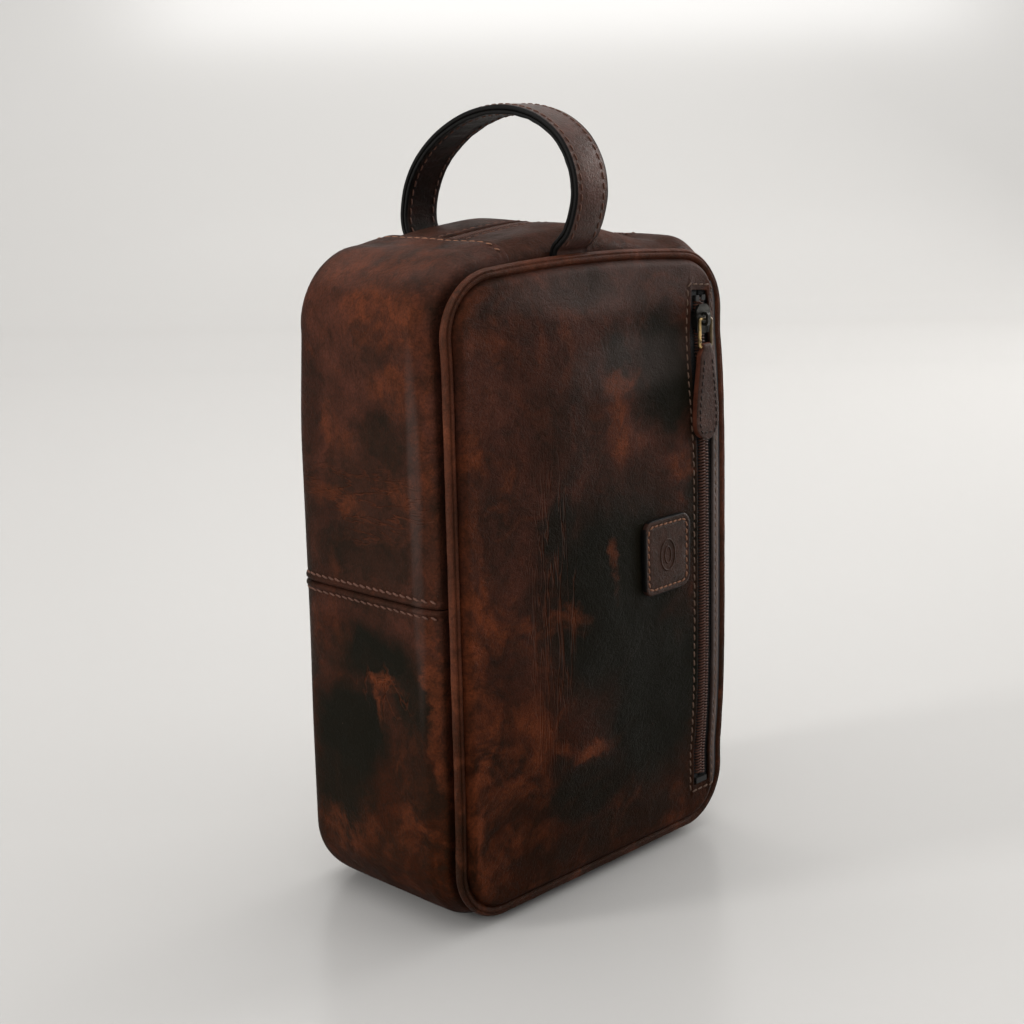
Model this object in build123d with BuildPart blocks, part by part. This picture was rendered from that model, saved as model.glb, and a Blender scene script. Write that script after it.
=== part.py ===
from build123d import *

import os
from math import sqrt

# Leather shaving kit bag that stands on its end: two piped panels, a side band, a zip gusset,
# a zip pocket and a loop handle. Millimetres, +Z up, -Y is the front, origin under the middle of the base.
# Heights across a wall are called h: 0 is the outer line of the piping and + is outwards.

# ---- driving dimensions ----------------------------------------------------------------------
BODY_WIDTH = 160.0  # over the piping, along X
BODY_HEIGHT = 250.0  # over the piping, along Z
CORNER_R = 24.0  # corner of the piping's outer line
CROWN = 3.0  # how far the gusset stands outside the piping
OUTER_TOP = CROWN + BODY_HEIGHT
MID_Z = CROWN + BODY_HEIGHT / 2

LEATHER = 2.0
FABRIC = 0.6
GUSSET_HALF = 39.6  # the gusset runs from one piping to the other
GUSSET_FLAT_HALF = 29.0  # the crown's level stretch
GUSSET_EDGE_H = -1.0
SEAM_DEPTH = 12.0  # how far the turned seam allowances reach inwards

PIPING_R = 2.4
PIPING_CORE_R = 1.5
PIPING_Y = GUSSET_HALF + PIPING_R
PIPING_FLANGE = 1.6

PANEL_FRONT = 46.2  # outer face of the front and back panels
PANEL_BACK = GUSSET_HALF + PIPING_FLANGE
PANEL_OFFSET = 4.9
PANEL_ROUND = 2.0

BAND_END_X = -39.0  # the band's upper end, lapped and sewn over the zip panels on the top
BAND_END_Z = 45.0  # the band's lower end, low on the right side, past the base and a corner
BAND_SEAM_Z = MID_Z + 2.0  # the seam across the long side

TAPE = 0.6
TAPE_WIDTH = 14.4
CHAIN_GAP_HALF = 0.6  # the two chain halves stand this far from the middle
CHAIN_HALF = 3.0
CHAIN_HEIGHT = 1.7
ZIP_SLOT_HALF = 5.0  # half the gap between the two folded leather edges
MAIN_TAPE_H = CROWN - LEATHER

POCKET_ZIP_X = 63.0
POCKET_ZIP_LOW = 22.0
POCKET_ZIP_HIGH = 236.0
POCKET_TAPE_Y = PANEL_FRONT - LEATHER

SLIDER_LENGTH = 12.0
SLIDER_GAP = 0.35
SLIDER_PLATE = 1.2
SLIDER_FLANGE = 1.0
BRIDGE_HOLE = 2.1
BRIDGE_WALL = 1.1
POCKET_SLIDER_Z = 226.0
MAIN_SLIDER_Z = 56.0

RING_WIRE_R = 0.7
RING_WIDTH = 7.6
RING_LENGTH = 11.6
TAB_LENGTH = 39.0
TAB_THICKNESS = 3.2
NECK_HALF = 2.7
TAB_BORE_R = RING_WIRE_R + 0.08

HANDLE_X = -9.0
HANDLE_WIDTH = 18.0
HANDLE_PIVOT_Z = 257.0
HANDLE_FOOT_Y = 46.6
STRAP_OUTER = 1.9
STRAP_INNER = 1.7
STRAP_CLEAR_Y = 44.6  # the sewn tails end here and the free loop starts just outside it

SLIDER_HALF = CHAIN_HALF + SLIDER_GAP + SLIDER_FLANGE
SLIDER_LOWER_PLATE = SLIDER_PLATE * 0.8
BRIDGE_LENGTH = BRIDGE_HOLE + SLIDER_PLATE * 3
BRIDGE_WIDTH = 1.8
TOP_PLATE_W = CHAIN_HEIGHT + SLIDER_GAP  # a slider's heights, from the tape's outer face
TOP_W = TOP_PLATE_W + SLIDER_PLATE
BRIDGE_TOP = TOP_W + BRIDGE_HOLE + BRIDGE_WALL
PIVOT_W = TOP_W + SLIDER_GAP + RING_WIRE_R + 0.05

FRONT, BACK = -1, 1
os.makedirs("parts", exist_ok=True)


def save(builder, name):
    """Label the finished piece and write its STEP file."""
    builder.part.label = name
    export_step(builder.part, f"parts/{name}.step")
    print(name, "solids", len(builder.part.solids()), "volume", round(builder.part.volume, 1))


def face_plane(side, distance):
    """A plane parallel to the big panels, its normal pointing out of that side of the bag."""
    return Plane(origin=(0, side * distance, MID_Z), x_dir=(1, 0, 0), z_dir=(0, side, 0))


def outline(offset, mode=Mode.ADD):
    """The bag's rounded outline, that far inside the piping's outer line, in the current sketch."""
    size = (BODY_WIDTH - 2 * offset, BODY_HEIGHT - 2 * offset)
    RectangleRounded(*size, CORNER_R - offset, mode=mode)


def outline_path():
    """A closed line round the piping's outer line, starting at the middle of the left side."""
    half, low, high, r = BODY_WIDTH / 2, CROWN, OUTER_TOP, CORNER_R
    with BuildLine(Plane.XZ) as path:
        a = Line((-half, MID_Z), (-half, high - r))
        b = JernArc(a @ 1, a % 1, r, -90)
        c = Line(b @ 1, (half - r, high))
        d = JernArc(c @ 1, c % 1, r, -90)
        e = Line(d @ 1, (half, low + r))
        f = JernArc(e @ 1, e % 1, r, -90)
        g = Line(f @ 1, (-half + r, low))
        h = JernArc(g @ 1, g % 1, r, -90)
        Line(h @ 1, a @ 0)
    return path.line


LEFT_START = Plane(origin=(-BODY_WIDTH / 2, 0, MID_Z), x_dir=(-1, 0, 0), z_dir=(0, 0, 1))


def swept_strip(y0, y1, h0, h1, past_end):
    """A strip of rectangular section along the zip's run, from past_end beyond one band end to the other."""
    with BuildPart() as strip:
        with BuildSketch(LEFT_START):
            with Locations(((h0 + h1) / 2, -(y0 + y1) / 2)):
                Rectangle(h1 - h0, y1 - y0)
        sweep(path=outline_path())
        split(bisect_by=Plane.YZ.offset(BAND_END_X - past_end), keep=Keep.TOP)
        split(bisect_by=Plane.XY.offset(BAND_END_Z - past_end), keep=Keep.TOP)
    return strip


# ---- panels and piping -----------------------------------------------------------------------
def make_panel(side):
    """A leather panel: a shallow tray whose rim sits on the piping's flange."""
    with BuildPart() as panel:
        with BuildSketch(face_plane(side, PANEL_BACK)):
            outline(PANEL_OFFSET)
        extrude(amount=PANEL_FRONT - PANEL_BACK)
        outer_face = panel.faces().sort_by(Axis.Y)[0 if side == FRONT else -1]
        fillet(outer_face.edges(), PANEL_ROUND)
        with BuildSketch(face_plane(side, PANEL_BACK)):
            outline(PANEL_OFFSET + LEATHER)
        extrude(amount=PANEL_FRONT - PANEL_BACK - LEATHER, mode=Mode.SUBTRACT)
        if side == FRONT:
            with BuildSketch(face_plane(side, PANEL_BACK)):
                with Locations((POCKET_ZIP_X, (POCKET_ZIP_LOW + POCKET_ZIP_HIGH) / 2 - MID_Z)):
                    Rectangle(2 * ZIP_SLOT_HALF, POCKET_ZIP_HIGH - POCKET_ZIP_LOW)
            extrude(amount=PANEL_FRONT, mode=Mode.SUBTRACT)
    return panel


def make_piping(side):
    """A leather piping: a tube round a cord, with the flange that is sewn into the seam."""
    with BuildPart() as piping:
        with BuildSketch(LEFT_START):
            with Locations((-PIPING_R, -side * PIPING_Y)):
                Circle(PIPING_R)
            with Locations((-(PIPING_R + SEAM_DEPTH) / 2, -side * (GUSSET_HALF + PIPING_FLANGE / 2))):
                Rectangle(SEAM_DEPTH - PIPING_R, PIPING_FLANGE)
            with Locations((-PIPING_R, -side * PIPING_Y)):
                Circle(PIPING_CORE_R, mode=Mode.SUBTRACT)
        sweep(path=outline_path())
    return piping


def make_piping_cord(side):
    """The cord inside the piping."""
    with BuildPart() as cord:
        with BuildSketch(LEFT_START):
            with Locations((-PIPING_R, -side * PIPING_Y)):
                Circle(PIPING_CORE_R - 0.03)
        sweep(path=outline_path())
    return cord


for side, word in ((FRONT, "front"), (BACK, "back")):
    save(make_panel(side), f"{word}_panel")
    save(make_piping(side), f"{word}_piping")
    save(make_piping_cord(side), f"{word}_piping_cord")

# ---- gusset: side band and zip panels --------------------------------------------------------
rise = CROWN - GUSSET_EDGE_H
run = GUSSET_HALF - GUSSET_FLAT_HALF
SHOULDER_R = (run**2 + rise**2) / (2 * rise)  # arc that meets the level stretch without a corner
SHOULDER_H = CROWN - SHOULDER_R  # height of that arc's centre


def shoulder_point(y, radius):
    """Point of a shoulder arc of that radius at distance y from the middle, as (h, y)."""
    return (SHOULDER_H + sqrt(radius**2 - (y - GUSSET_FLAT_HALF) ** 2), y)


with BuildPart() as gusset_ring:
    with BuildSketch(LEFT_START) as gusset_section:
        with BuildLine():
            inner_r = SHOULDER_R - LEATHER
            wall = GUSSET_HALF - LEATHER
            middle = (GUSSET_HALF + GUSSET_FLAT_HALF) / 2
            for end in (-1, 1):
                outer = [shoulder_point(y, SHOULDER_R) for y in (GUSSET_HALF, middle, GUSSET_FLAT_HALF)]
                inner = [shoulder_point(y, inner_r) for y in (wall, middle, GUSSET_FLAT_HALF)]
                outer = [(h, end * y) for h, y in outer]
                inner = [(h, end * y) for h, y in inner]
                ThreePointArc(*outer)
                ThreePointArc(*inner)
                Polyline(outer[0], (-SEAM_DEPTH, end * GUSSET_HALF), (-SEAM_DEPTH, end * wall), inner[0])
            Line((CROWN, -GUSSET_FLAT_HALF), (CROWN, GUSSET_FLAT_HALF))
            Line((CROWN - LEATHER, -GUSSET_FLAT_HALF), (CROWN - LEATHER, GUSSET_FLAT_HALF))
        make_face()
    sweep(sections=gusset_section.sketch, path=outline_path())

TAIL_PLATE = 1.2  # the part of a handle tail that is sewn into the seam
TAIL_DEPTH = 10.0


def make_zip_panel(side):
    """Half of the zip's surround: across the top, round the corner and down the right side."""
    with BuildPart() as half:
        add(gusset_ring.part)
        split(bisect_by=Plane.YZ.offset(BAND_END_X), keep=Keep.TOP)
        split(bisect_by=Plane.XY.offset(BAND_END_Z), keep=Keep.TOP)
        split(bisect_by=face_plane(side, ZIP_SLOT_HALF), keep=Keep.TOP)
        with BuildSketch(Plane.XY.offset(OUTER_TOP - TAIL_DEPTH)):
            with Locations((HANDLE_X, side * (GUSSET_HALF - TAIL_PLATE / 2))):
                Rectangle(HANDLE_WIDTH + 0.2, TAIL_PLATE)
        extrude(amount=TAIL_DEPTH + 2 * CROWN, mode=Mode.SUBTRACT)
    return half


save(make_zip_panel(FRONT), "zip_panel_front")
save(make_zip_panel(BACK), "zip_panel_back")

with BuildPart() as band_upper:
    add(gusset_ring.part)
    split(bisect_by=Plane.YZ.offset(BAND_END_X), keep=Keep.BOTTOM)
    split(bisect_by=Plane.XY.offset(BAND_SEAM_Z), keep=Keep.TOP)
save(band_upper, "band_upper")

with BuildPart() as band_lower:
    add(gusset_ring.part)
    split(bisect_by=Plane.XY.offset(BAND_SEAM_Z), keep=Keep.BOTTOM)
    with BuildSketch(Plane.XY.offset(BAND_END_Z)):
        with Locations((BAND_END_X + BODY_WIDTH / 2, 0)):
            Rectangle(BODY_WIDTH, 4 * GUSSET_HALF)
    extrude(amount=BODY_HEIGHT, mode=Mode.SUBTRACT)
save(band_lower, "band_lower")

# ---- main zip --------------------------------------------------------------------------------
TAPE_TUCK = 6.0  # the tape ends run on under the band
CHAIN_SHORT = -2.5  # the chain stops short of the band
for side, word in ((FRONT, "front"), (BACK, "back")):
    edge = side * CHAIN_GAP_HALF
    tape_far = side * (CHAIN_GAP_HALF + TAPE_WIDTH)
    chain_far = side * CHAIN_HALF
    tape_y = sorted((edge, tape_far))
    chain_y = sorted((edge, chain_far))
    save(swept_strip(*tape_y, MAIN_TAPE_H - TAPE, MAIN_TAPE_H, TAPE_TUCK), f"main_zip_tape_{word}")
    chain_top = MAIN_TAPE_H + CHAIN_HEIGHT
    save(swept_strip(*chain_y, MAIN_TAPE_H, chain_top, CHAIN_SHORT), f"main_zip_coil_{word}")

STOP_LENGTH = 2.2
STOP_HEIGHT = LEATHER - 0.2
with BuildPart() as main_stops:
    with BuildSketch(Plane.XY.offset(OUTER_TOP + MAIN_TAPE_H)):
        with Locations((BAND_END_X + STOP_LENGTH / 2 + 0.1, 0)):
            RectangleRounded(STOP_LENGTH, 2 * CHAIN_HALF + 1, 0.6)
    extrude(amount=STOP_HEIGHT)
    with BuildSketch(Plane.YZ.offset(BODY_WIDTH / 2 + MAIN_TAPE_H)):
        with Locations((0, BAND_END_Z + STOP_LENGTH / 2 + 0.1)):
            RectangleRounded(2 * CHAIN_HALF + 1, STOP_LENGTH, 0.6)
    extrude(amount=STOP_HEIGHT)
save(main_stops, "main_zip_end_stops")


# ---- sliders, rings and pull tabs ------------------------------------------------------------
def chain_plane(outward, origin):
    """Local x across the chain, y along it (up the bag), z out of the bag, from the tape's outer face."""
    across = Vector(0, 0, 1).cross(Vector(outward))
    return Plane(origin=origin, x_dir=across, z_dir=outward)


def make_slider(base, head_up):
    """A coil-zip slider: two plates joined by a thin web, with flanges and a bridge for the ring."""
    high = SLIDER_LENGTH / 2 if head_up else -SLIDER_LENGTH / 2
    low = -high
    lower_top = -TAPE - SLIDER_GAP
    along = Plane(origin=base.origin, x_dir=base.y_dir, z_dir=base.x_dir)
    with BuildPart() as slider:
        plates = (
            (TOP_PLATE_W, SLIDER_PLATE),
            (lower_top - SLIDER_LOWER_PLATE, SLIDER_LOWER_PLATE),
        )
        for level, thickness in plates:
            with BuildSketch(base.offset(level)) as plate:
                with BuildLine():
                    Polyline(
                        (-SLIDER_HALF, high * 0.6),
                        (-SLIDER_HALF * 0.9, low),
                        (SLIDER_HALF * 0.9, low),
                        (SLIDER_HALF, high * 0.6),
                        (SLIDER_HALF * 0.55, high),
                        (-SLIDER_HALF * 0.55, high),
                        close=True,
                    )
                make_face()
                fillet(plate.vertices(), 1.2)
            extrude(amount=thickness)
        with BuildSketch(base.offset(SLIDER_GAP)):
            for end in (-1, 1):
                with Locations((end * (SLIDER_HALF - SLIDER_FLANGE * 0.6), 0)):
                    Rectangle(SLIDER_FLANGE * 0.6, SLIDER_LENGTH * 0.55)
        extrude(amount=TOP_PLATE_W)
        with BuildSketch(base.offset(lower_top - 0.2)):
            Rectangle(2 * (CHAIN_GAP_HALF - SLIDER_GAP), SLIDER_LENGTH * 0.6)
        extrude(amount=TOP_PLATE_W - lower_top + 0.4)
        with BuildSketch(along):
            with Locations((0, (BRIDGE_TOP + TOP_W) / 2 - 0.2)):
                RectangleRounded(BRIDGE_LENGTH, BRIDGE_TOP - TOP_W + 0.4, 1.4)
            with Locations((0, TOP_W + BRIDGE_HOLE / 2)):
                RectangleRounded(BRIDGE_LENGTH - 2 * BRIDGE_WALL, BRIDGE_HOLE, 0.9, mode=Mode.SUBTRACT)
        extrude(amount=BRIDGE_WIDTH / 2, both=True)
    return slider


def make_ring(base):
    """The metal ring through the slider's bridge, hanging down the bag."""
    centre = base.offset(PIVOT_W)
    with BuildPart() as ring:
        with BuildLine(centre) as wire:
            FilletPolyline(
                (RING_WIDTH / 2, 0),
                (RING_WIDTH / 2, -RING_LENGTH),
                (-RING_WIDTH / 2, -RING_LENGTH),
                (-RING_WIDTH / 2, 0),
                radius=1.0,
                close=True,
            )
        with BuildSketch(Plane(origin=wire.line @ 0, z_dir=wire.line % 0)) as section:
            Circle(RING_WIRE_R)
        sweep(sections=section.sketch, path=wire.line)
    return ring


def make_tab(base):
    """The leather pull: a neck folded round the ring and a long drop with a round end."""
    bar = base.offset(PIVOT_W).origin - base.y_dir * RING_LENGTH
    middle = Plane(origin=bar, x_dir=base.x_dir, z_dir=base.z_dir)
    across = Plane(origin=bar, x_dir=base.z_dir, z_dir=base.x_dir)
    with BuildPart() as tab:
        with BuildSketch(middle):
            with BuildLine():
                Polyline(
                    (-4.4, -4.0),
                    (-NECK_HALF, -2.4),
                    (-NECK_HALF, 0),
                    (NECK_HALF, 0),
                    (NECK_HALF, -2.4),
                    (4.4, -4.0),
                )
                Spline((4.4, -4.0), (7.3, 9.0 - TAB_LENGTH), tangents=((0.12, -1), (0, -1)))
                ThreePointArc((7.3, 9.0 - TAB_LENGTH), (0, -TAB_LENGTH), (-7.3, 9.0 - TAB_LENGTH))
                Spline((-7.3, 9.0 - TAB_LENGTH), (-4.4, -4.0), tangents=((0, 1), (0.12, 1)))
            make_face()
        extrude(amount=TAB_THICKNESS / 2, both=True)
        with BuildSketch(across):
            Circle(TAB_THICKNESS / 2)
        extrude(amount=NECK_HALF, both=True)
        with BuildSketch(across):
            Circle(TAB_BORE_R)
        extrude(amount=2 * NECK_HALF, both=True, mode=Mode.SUBTRACT)
    return tab


pocket_chain = chain_plane((0, -1, 0), (POCKET_ZIP_X, -POCKET_TAPE_Y, POCKET_SLIDER_Z))
main_chain = chain_plane((1, 0, 0), (BODY_WIDTH / 2 + MAIN_TAPE_H, 0, MAIN_SLIDER_Z))
save(make_slider(pocket_chain, head_up=True), "pocket_slider")
save(make_ring(pocket_chain), "pocket_pull_ring")
save(make_tab(pocket_chain), "pocket_pull_tab")
save(make_slider(main_chain, head_up=False), "main_slider")
save(make_ring(main_chain), "main_pull_ring")
save(make_tab(main_chain), "main_pull_tab")

# ---- pocket zip and pocket bag ---------------------------------------------------------------
POCKET_LENGTH = POCKET_ZIP_HIGH - POCKET_ZIP_LOW
POCKET_MID = (POCKET_ZIP_LOW + POCKET_ZIP_HIGH) / 2 - MID_Z
RIM_OFFSET = PANEL_OFFSET + LEATHER + 0.1  # just inside the panel's rim
RIM_X = BODY_WIDTH / 2 - RIM_OFFSET
TAPE_OVERRUN = 6.0


def make_pocket_strip(x0, x1, length, height):
    """A straight strip of the pocket zip; a negative height goes behind the tape's outer face."""
    with BuildPart() as strip:
        with BuildSketch(face_plane(FRONT, POCKET_TAPE_Y)):
            with Locations(((x0 + x1) / 2, POCKET_MID)):
                Rectangle(x1 - x0, length)
            outline(RIM_OFFSET, Mode.INTERSECT)
        extrude(amount=height)
    return strip


left_edge, right_edge = POCKET_ZIP_X - CHAIN_GAP_HALF, POCKET_ZIP_X + CHAIN_GAP_HALF
tape_length = POCKET_LENGTH + TAPE_OVERRUN
coil_length = POCKET_LENGTH - 6.0
save(make_pocket_strip(left_edge - TAPE_WIDTH, left_edge, tape_length, -TAPE), "pocket_zip_tape_left")
save(make_pocket_strip(right_edge, RIM_X, tape_length, -TAPE), "pocket_zip_tape_right")
left_coil = make_pocket_strip(POCKET_ZIP_X - CHAIN_HALF, left_edge, coil_length, CHAIN_HEIGHT)
save(left_coil, "pocket_zip_coil_left")
right_coil = make_pocket_strip(right_edge, POCKET_ZIP_X + CHAIN_HALF, coil_length, CHAIN_HEIGHT)
save(right_coil, "pocket_zip_coil_right")

with BuildPart() as top_stops:
    with BuildSketch(face_plane(FRONT, POCKET_TAPE_Y)):
        for end in (-1, 1):
            with Locations((POCKET_ZIP_X + end * 1.9, POCKET_ZIP_HIGH - MID_Z - 1.5)):
                RectangleRounded(2.4, 2.4, 0.5)
    extrude(amount=STOP_HEIGHT)
save(top_stops, "pocket_zip_top_stops")

with BuildPart() as bottom_stop:
    with BuildSketch(face_plane(FRONT, POCKET_TAPE_Y)):
        with Locations((POCKET_ZIP_X, POCKET_ZIP_LOW - MID_Z + 1.5)):
            RectangleRounded(2 * CHAIN_HALF + 1, 2.4, 0.5)
    extrude(amount=STOP_HEIGHT)
save(bottom_stop, "pocket_zip_bottom_stop")

LINING_Y = GUSSET_HALF - LEATHER  # outer face of the two big lining sheets
BAG_LEFT, BAG_LOW, BAG_HIGH = -58.0, 17.0, 239.0
BAG_MOUTH_X = POCKET_ZIP_X - 7.0
BAG_FRONT, BAG_BACK = POCKET_TAPE_Y - TAPE, PANEL_BACK + 0.1
POCKET_BLOCKS = (  # left edge, margin, nearest and farthest distance from the middle: cloth, hollow, mouth
    (BAG_LEFT, 0, BAG_BACK, BAG_FRONT, Mode.ADD),
    (BAG_LEFT + FABRIC, FABRIC, BAG_BACK + FABRIC, BAG_FRONT - FABRIC, Mode.SUBTRACT),
    (BAG_MOUTH_X, FABRIC, BAG_BACK + FABRIC, BAG_FRONT, Mode.SUBTRACT),
)
with BuildPart() as pocket_bag:
    for left, margin, near, far, mode in POCKET_BLOCKS:
        with BuildSketch(face_plane(FRONT, near)):
            with Locations(((left + RIM_X) / 2, (BAG_LOW + BAG_HIGH) / 2 - MID_Z)):
                Rectangle(RIM_X - left, BAG_HIGH - BAG_LOW - 2 * margin)
            outline(RIM_OFFSET + margin, Mode.INTERSECT)
        extrude(amount=far - near, mode=mode)
save(pocket_bag, "pocket_bag")

# ---- patch -----------------------------------------------------------------------------------
PATCH_X, PATCH_Z = 36.0, 130.5
PATCH_WIDTH, PATCH_HEIGHT, PATCH_THICKNESS = 29.5, 31.5, 1.8
with BuildPart() as patch:
    with BuildSketch(face_plane(FRONT, PANEL_FRONT)):
        with Locations((PATCH_X, PATCH_Z - MID_Z)):
            RectangleRounded(PATCH_WIDTH, PATCH_HEIGHT, 5)
    extrude(amount=PATCH_THICKNESS)
    fillet(patch.faces().sort_by(Axis.Y)[0].edges(), 0.5)
save(patch, "patch")

# ---- lining ----------------------------------------------------------------------------------
LINING_OFFSET = 2.2
for side, word in ((FRONT, "front"), (BACK, "back")):
    with BuildPart() as lining:
        with BuildSketch(face_plane(side, LINING_Y - FABRIC)):
            outline(LINING_OFFSET)
        extrude(amount=FABRIC)
    save(lining, f"{word}_lining")

LINING_SLOT_HALF = 9.0
with BuildPart() as band_lining:
    with BuildSketch(face_plane(FRONT, -(LINING_Y - FABRIC))):
        outline(LINING_OFFSET - FABRIC)
        outline(LINING_OFFSET, Mode.SUBTRACT)
    extrude(amount=2 * (LINING_Y - FABRIC))
    with BuildSketch(Plane.YZ.offset(BAND_END_X + 4)):
        with Locations((0, BAND_END_Z + 4 + BODY_HEIGHT / 2)):
            Rectangle(2 * LINING_SLOT_HALF, BODY_HEIGHT)
    extrude(amount=BODY_WIDTH, mode=Mode.SUBTRACT)
save(band_lining, "band_lining")

SLIP_WIDTH, SLIP_LOW, SLIP_HIGH, SLIP_DEPTH = 120.0, 20.0, 150.0, 1.5
slip_y = LINING_Y - FABRIC
with BuildPart() as slip_pocket:
    with BuildSketch(face_plane(BACK, slip_y - SLIP_DEPTH)):
        with Locations((0, -((SLIP_LOW + SLIP_HIGH) / 2 - MID_Z))):
            Rectangle(SLIP_WIDTH, SLIP_HIGH - SLIP_LOW)
    extrude(amount=SLIP_DEPTH)
    with BuildSketch(face_plane(BACK, slip_y - SLIP_DEPTH + FABRIC)):
        with Locations((0, -((SLIP_LOW + SLIP_HIGH) / 2 + FABRIC - MID_Z))):
            Rectangle(SLIP_WIDTH - 2 * FABRIC, SLIP_HIGH - SLIP_LOW)
    extrude(amount=SLIP_DEPTH, mode=Mode.SUBTRACT)
save(slip_pocket, "inner_slip_pocket")

# ---- handle ----------------------------------------------------------------------------------
LOOP_POINTS = (  # y and z of the strap's middle line
    (-51.0, 272.0),
    (-49.5, 289.0),
    (-33.0, 306.5),
    (-10.0, 311.5),
    (14.0, 306.5),
    (38.0, 290.0),
    (46.2, 273.0),
)
LOOP_Z = HANDLE_PIVOT_Z + 0.5


def loop_curve(offset):
    """The strap's line in the YZ plane, moved outwards by offset."""
    with BuildLine(Plane.YZ.offset(HANDLE_X - HANDLE_WIDTH / 2), mode=Mode.PRIVATE) as centre:
        Spline(
            (-HANDLE_FOOT_Y, LOOP_Z),
            *LOOP_POINTS,
            (HANDLE_FOOT_Y, LOOP_Z),
            tangents=((-0.25, 1), (-0.05, -1)),
        )
    curve = centre.line
    points = []
    for step in range(25):
        at, along = curve @ (step / 24), curve % (step / 24)
        normal = Vector(0, -along.Z, along.Y).normalized()
        moved = at + normal * offset
        points.append((moved.Y, moved.Z))
    return points


def make_strap(inner_offset, outer_offset):
    """One layer of the free loop, between two curves beside its middle line."""
    inner, outer = loop_curve(inner_offset), loop_curve(outer_offset)
    with BuildPart() as strap:
        with BuildSketch(Plane.YZ.offset(HANDLE_X - HANDLE_WIDTH / 2)):
            with BuildLine():
                Spline(*inner)
                Spline(*outer)
                Line(inner[0], outer[0])
                Line(inner[-1], outer[-1])
            make_face()
        extrude(amount=HANDLE_WIDTH)
    return strap


save(make_strap(0, STRAP_OUTER), "handle_strap_outer")
save(make_strap(-STRAP_INNER, 0), "handle_strap_inner")


def make_tail(side):
    """The sewn end of the handle: a plate in the seam and a bend out over the piping."""
    piping_z = OUTER_TOP - PIPING_R
    inner_r, outer_r = PIPING_R + 0.05, PIPING_R + STRAP_OUTER + STRAP_INNER
    with BuildPart() as tail:
        with BuildSketch(Plane.YZ.offset(HANDLE_X - HANDLE_WIDTH / 2)):
            with Locations((side * PIPING_Y, piping_z)):
                Circle(outer_r)
                Circle(inner_r, mode=Mode.SUBTRACT)
            keep_width = STRAP_CLEAR_Y - GUSSET_HALF
            with Locations((side * (GUSSET_HALF + keep_width / 2), piping_z + 1.0 + outer_r / 2)):
                Rectangle(keep_width, outer_r, mode=Mode.INTERSECT)
            plate_height = TAIL_DEPTH + 1.6
            plate_z = OUTER_TOP - TAIL_DEPTH + plate_height / 2
            with Locations((side * (GUSSET_HALF - TAIL_PLATE / 2), plate_z)):
                Rectangle(TAIL_PLATE, plate_height)
        extrude(amount=HANDLE_WIDTH)
    return tail


save(make_tail(FRONT), "handle_tail_front")
save(make_tail(BACK), "handle_tail_back")
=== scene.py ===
"""Looks of the leather shaving kit bag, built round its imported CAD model. Lengths are millimetres."""

import math

import bmesh
import bpy
import numpy as np
from mathutils import Matrix, Vector, noise


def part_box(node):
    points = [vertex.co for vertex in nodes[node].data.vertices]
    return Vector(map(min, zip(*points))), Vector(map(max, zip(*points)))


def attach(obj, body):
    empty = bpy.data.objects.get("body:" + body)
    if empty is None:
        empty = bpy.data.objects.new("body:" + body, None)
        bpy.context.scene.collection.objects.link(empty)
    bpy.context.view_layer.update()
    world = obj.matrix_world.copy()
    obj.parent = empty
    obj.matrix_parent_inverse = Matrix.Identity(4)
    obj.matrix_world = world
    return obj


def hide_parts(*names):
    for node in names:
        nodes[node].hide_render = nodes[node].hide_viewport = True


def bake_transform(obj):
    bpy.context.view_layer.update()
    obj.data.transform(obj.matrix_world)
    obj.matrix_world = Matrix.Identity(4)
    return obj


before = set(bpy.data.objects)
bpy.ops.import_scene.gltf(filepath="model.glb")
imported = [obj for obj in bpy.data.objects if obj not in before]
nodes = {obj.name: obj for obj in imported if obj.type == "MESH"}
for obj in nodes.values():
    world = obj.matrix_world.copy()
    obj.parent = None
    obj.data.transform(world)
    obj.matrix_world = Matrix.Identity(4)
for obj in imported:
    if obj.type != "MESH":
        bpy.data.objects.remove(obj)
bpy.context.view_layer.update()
MM = 0.001


def box_mm(node):
    """A CAD node's lowest and highest corner in millimetres."""
    low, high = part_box(node)
    return np.array(low) / MM, np.array(high) / MM


# ---- places: the CAD model's boxes, and the few sizes that no box gives -----------------------
ring_low, ring_high = box_mm("front_piping")
HALF = ring_high[0]
LOW, HIGH = ring_low[2], ring_high[2]
MID = (LOW + HIGH) / 2
CORNER = 24.0  # radius of the piping's corners
PIPING_R = (ring_high[1] - ring_low[1]) / 2
PIPING_Y = -(ring_high[1] + ring_low[1]) / 2
SEAM_Y = box_mm("band_upper")[1][1]  # the gusset meets the piping here
BAND_END_X = box_mm("zip_panel_front")[0][0]
BAND_END_Z = box_mm("zip_panel_front")[0][2]
BAND_SEAM_Z = box_mm("band_upper")[0][2]
PANEL_Y = -box_mm("front_panel")[0][1]
zip_low = box_mm("pocket_zip_coil_left")[0]
zip_high = box_mm("pocket_zip_coil_right")[1]
ZIP_X = (zip_low[0] + zip_high[0]) / 2
COIL_IN = 3.0  # the slot runs this far past the coil at both ends
ZIP_BOTTOM, ZIP_TOP = zip_low[2] - COIL_IN, zip_high[2] + COIL_IN
TAPE_Y = -box_mm("pocket_zip_tape_left")[0][1]
SLOT = 5.0  # half the opening over a zip

STRAIGHT_V = HIGH - LOW - 2 * CORNER
STRAIGHT_H = 2 * HALF - 2 * CORNER
ARC = CORNER * math.pi / 2
RIM_LENGTH = 2 * (STRAIGHT_V + STRAIGHT_H) + 4 * ARC
ARCH = 4.6  # the soft top bows up between its corners


def smooth(value, start, end):
    """0 before start, 1 after end, an easy curve between."""
    t = np.clip((np.asarray(value, float) - start) / (end - start), 0, 1)
    return t * t * (3 - 2 * t)


def bump(value, centre, width):
    """A bell of height 1."""
    return np.exp(-(((np.asarray(value, float) - centre) / width) ** 2))


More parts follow.
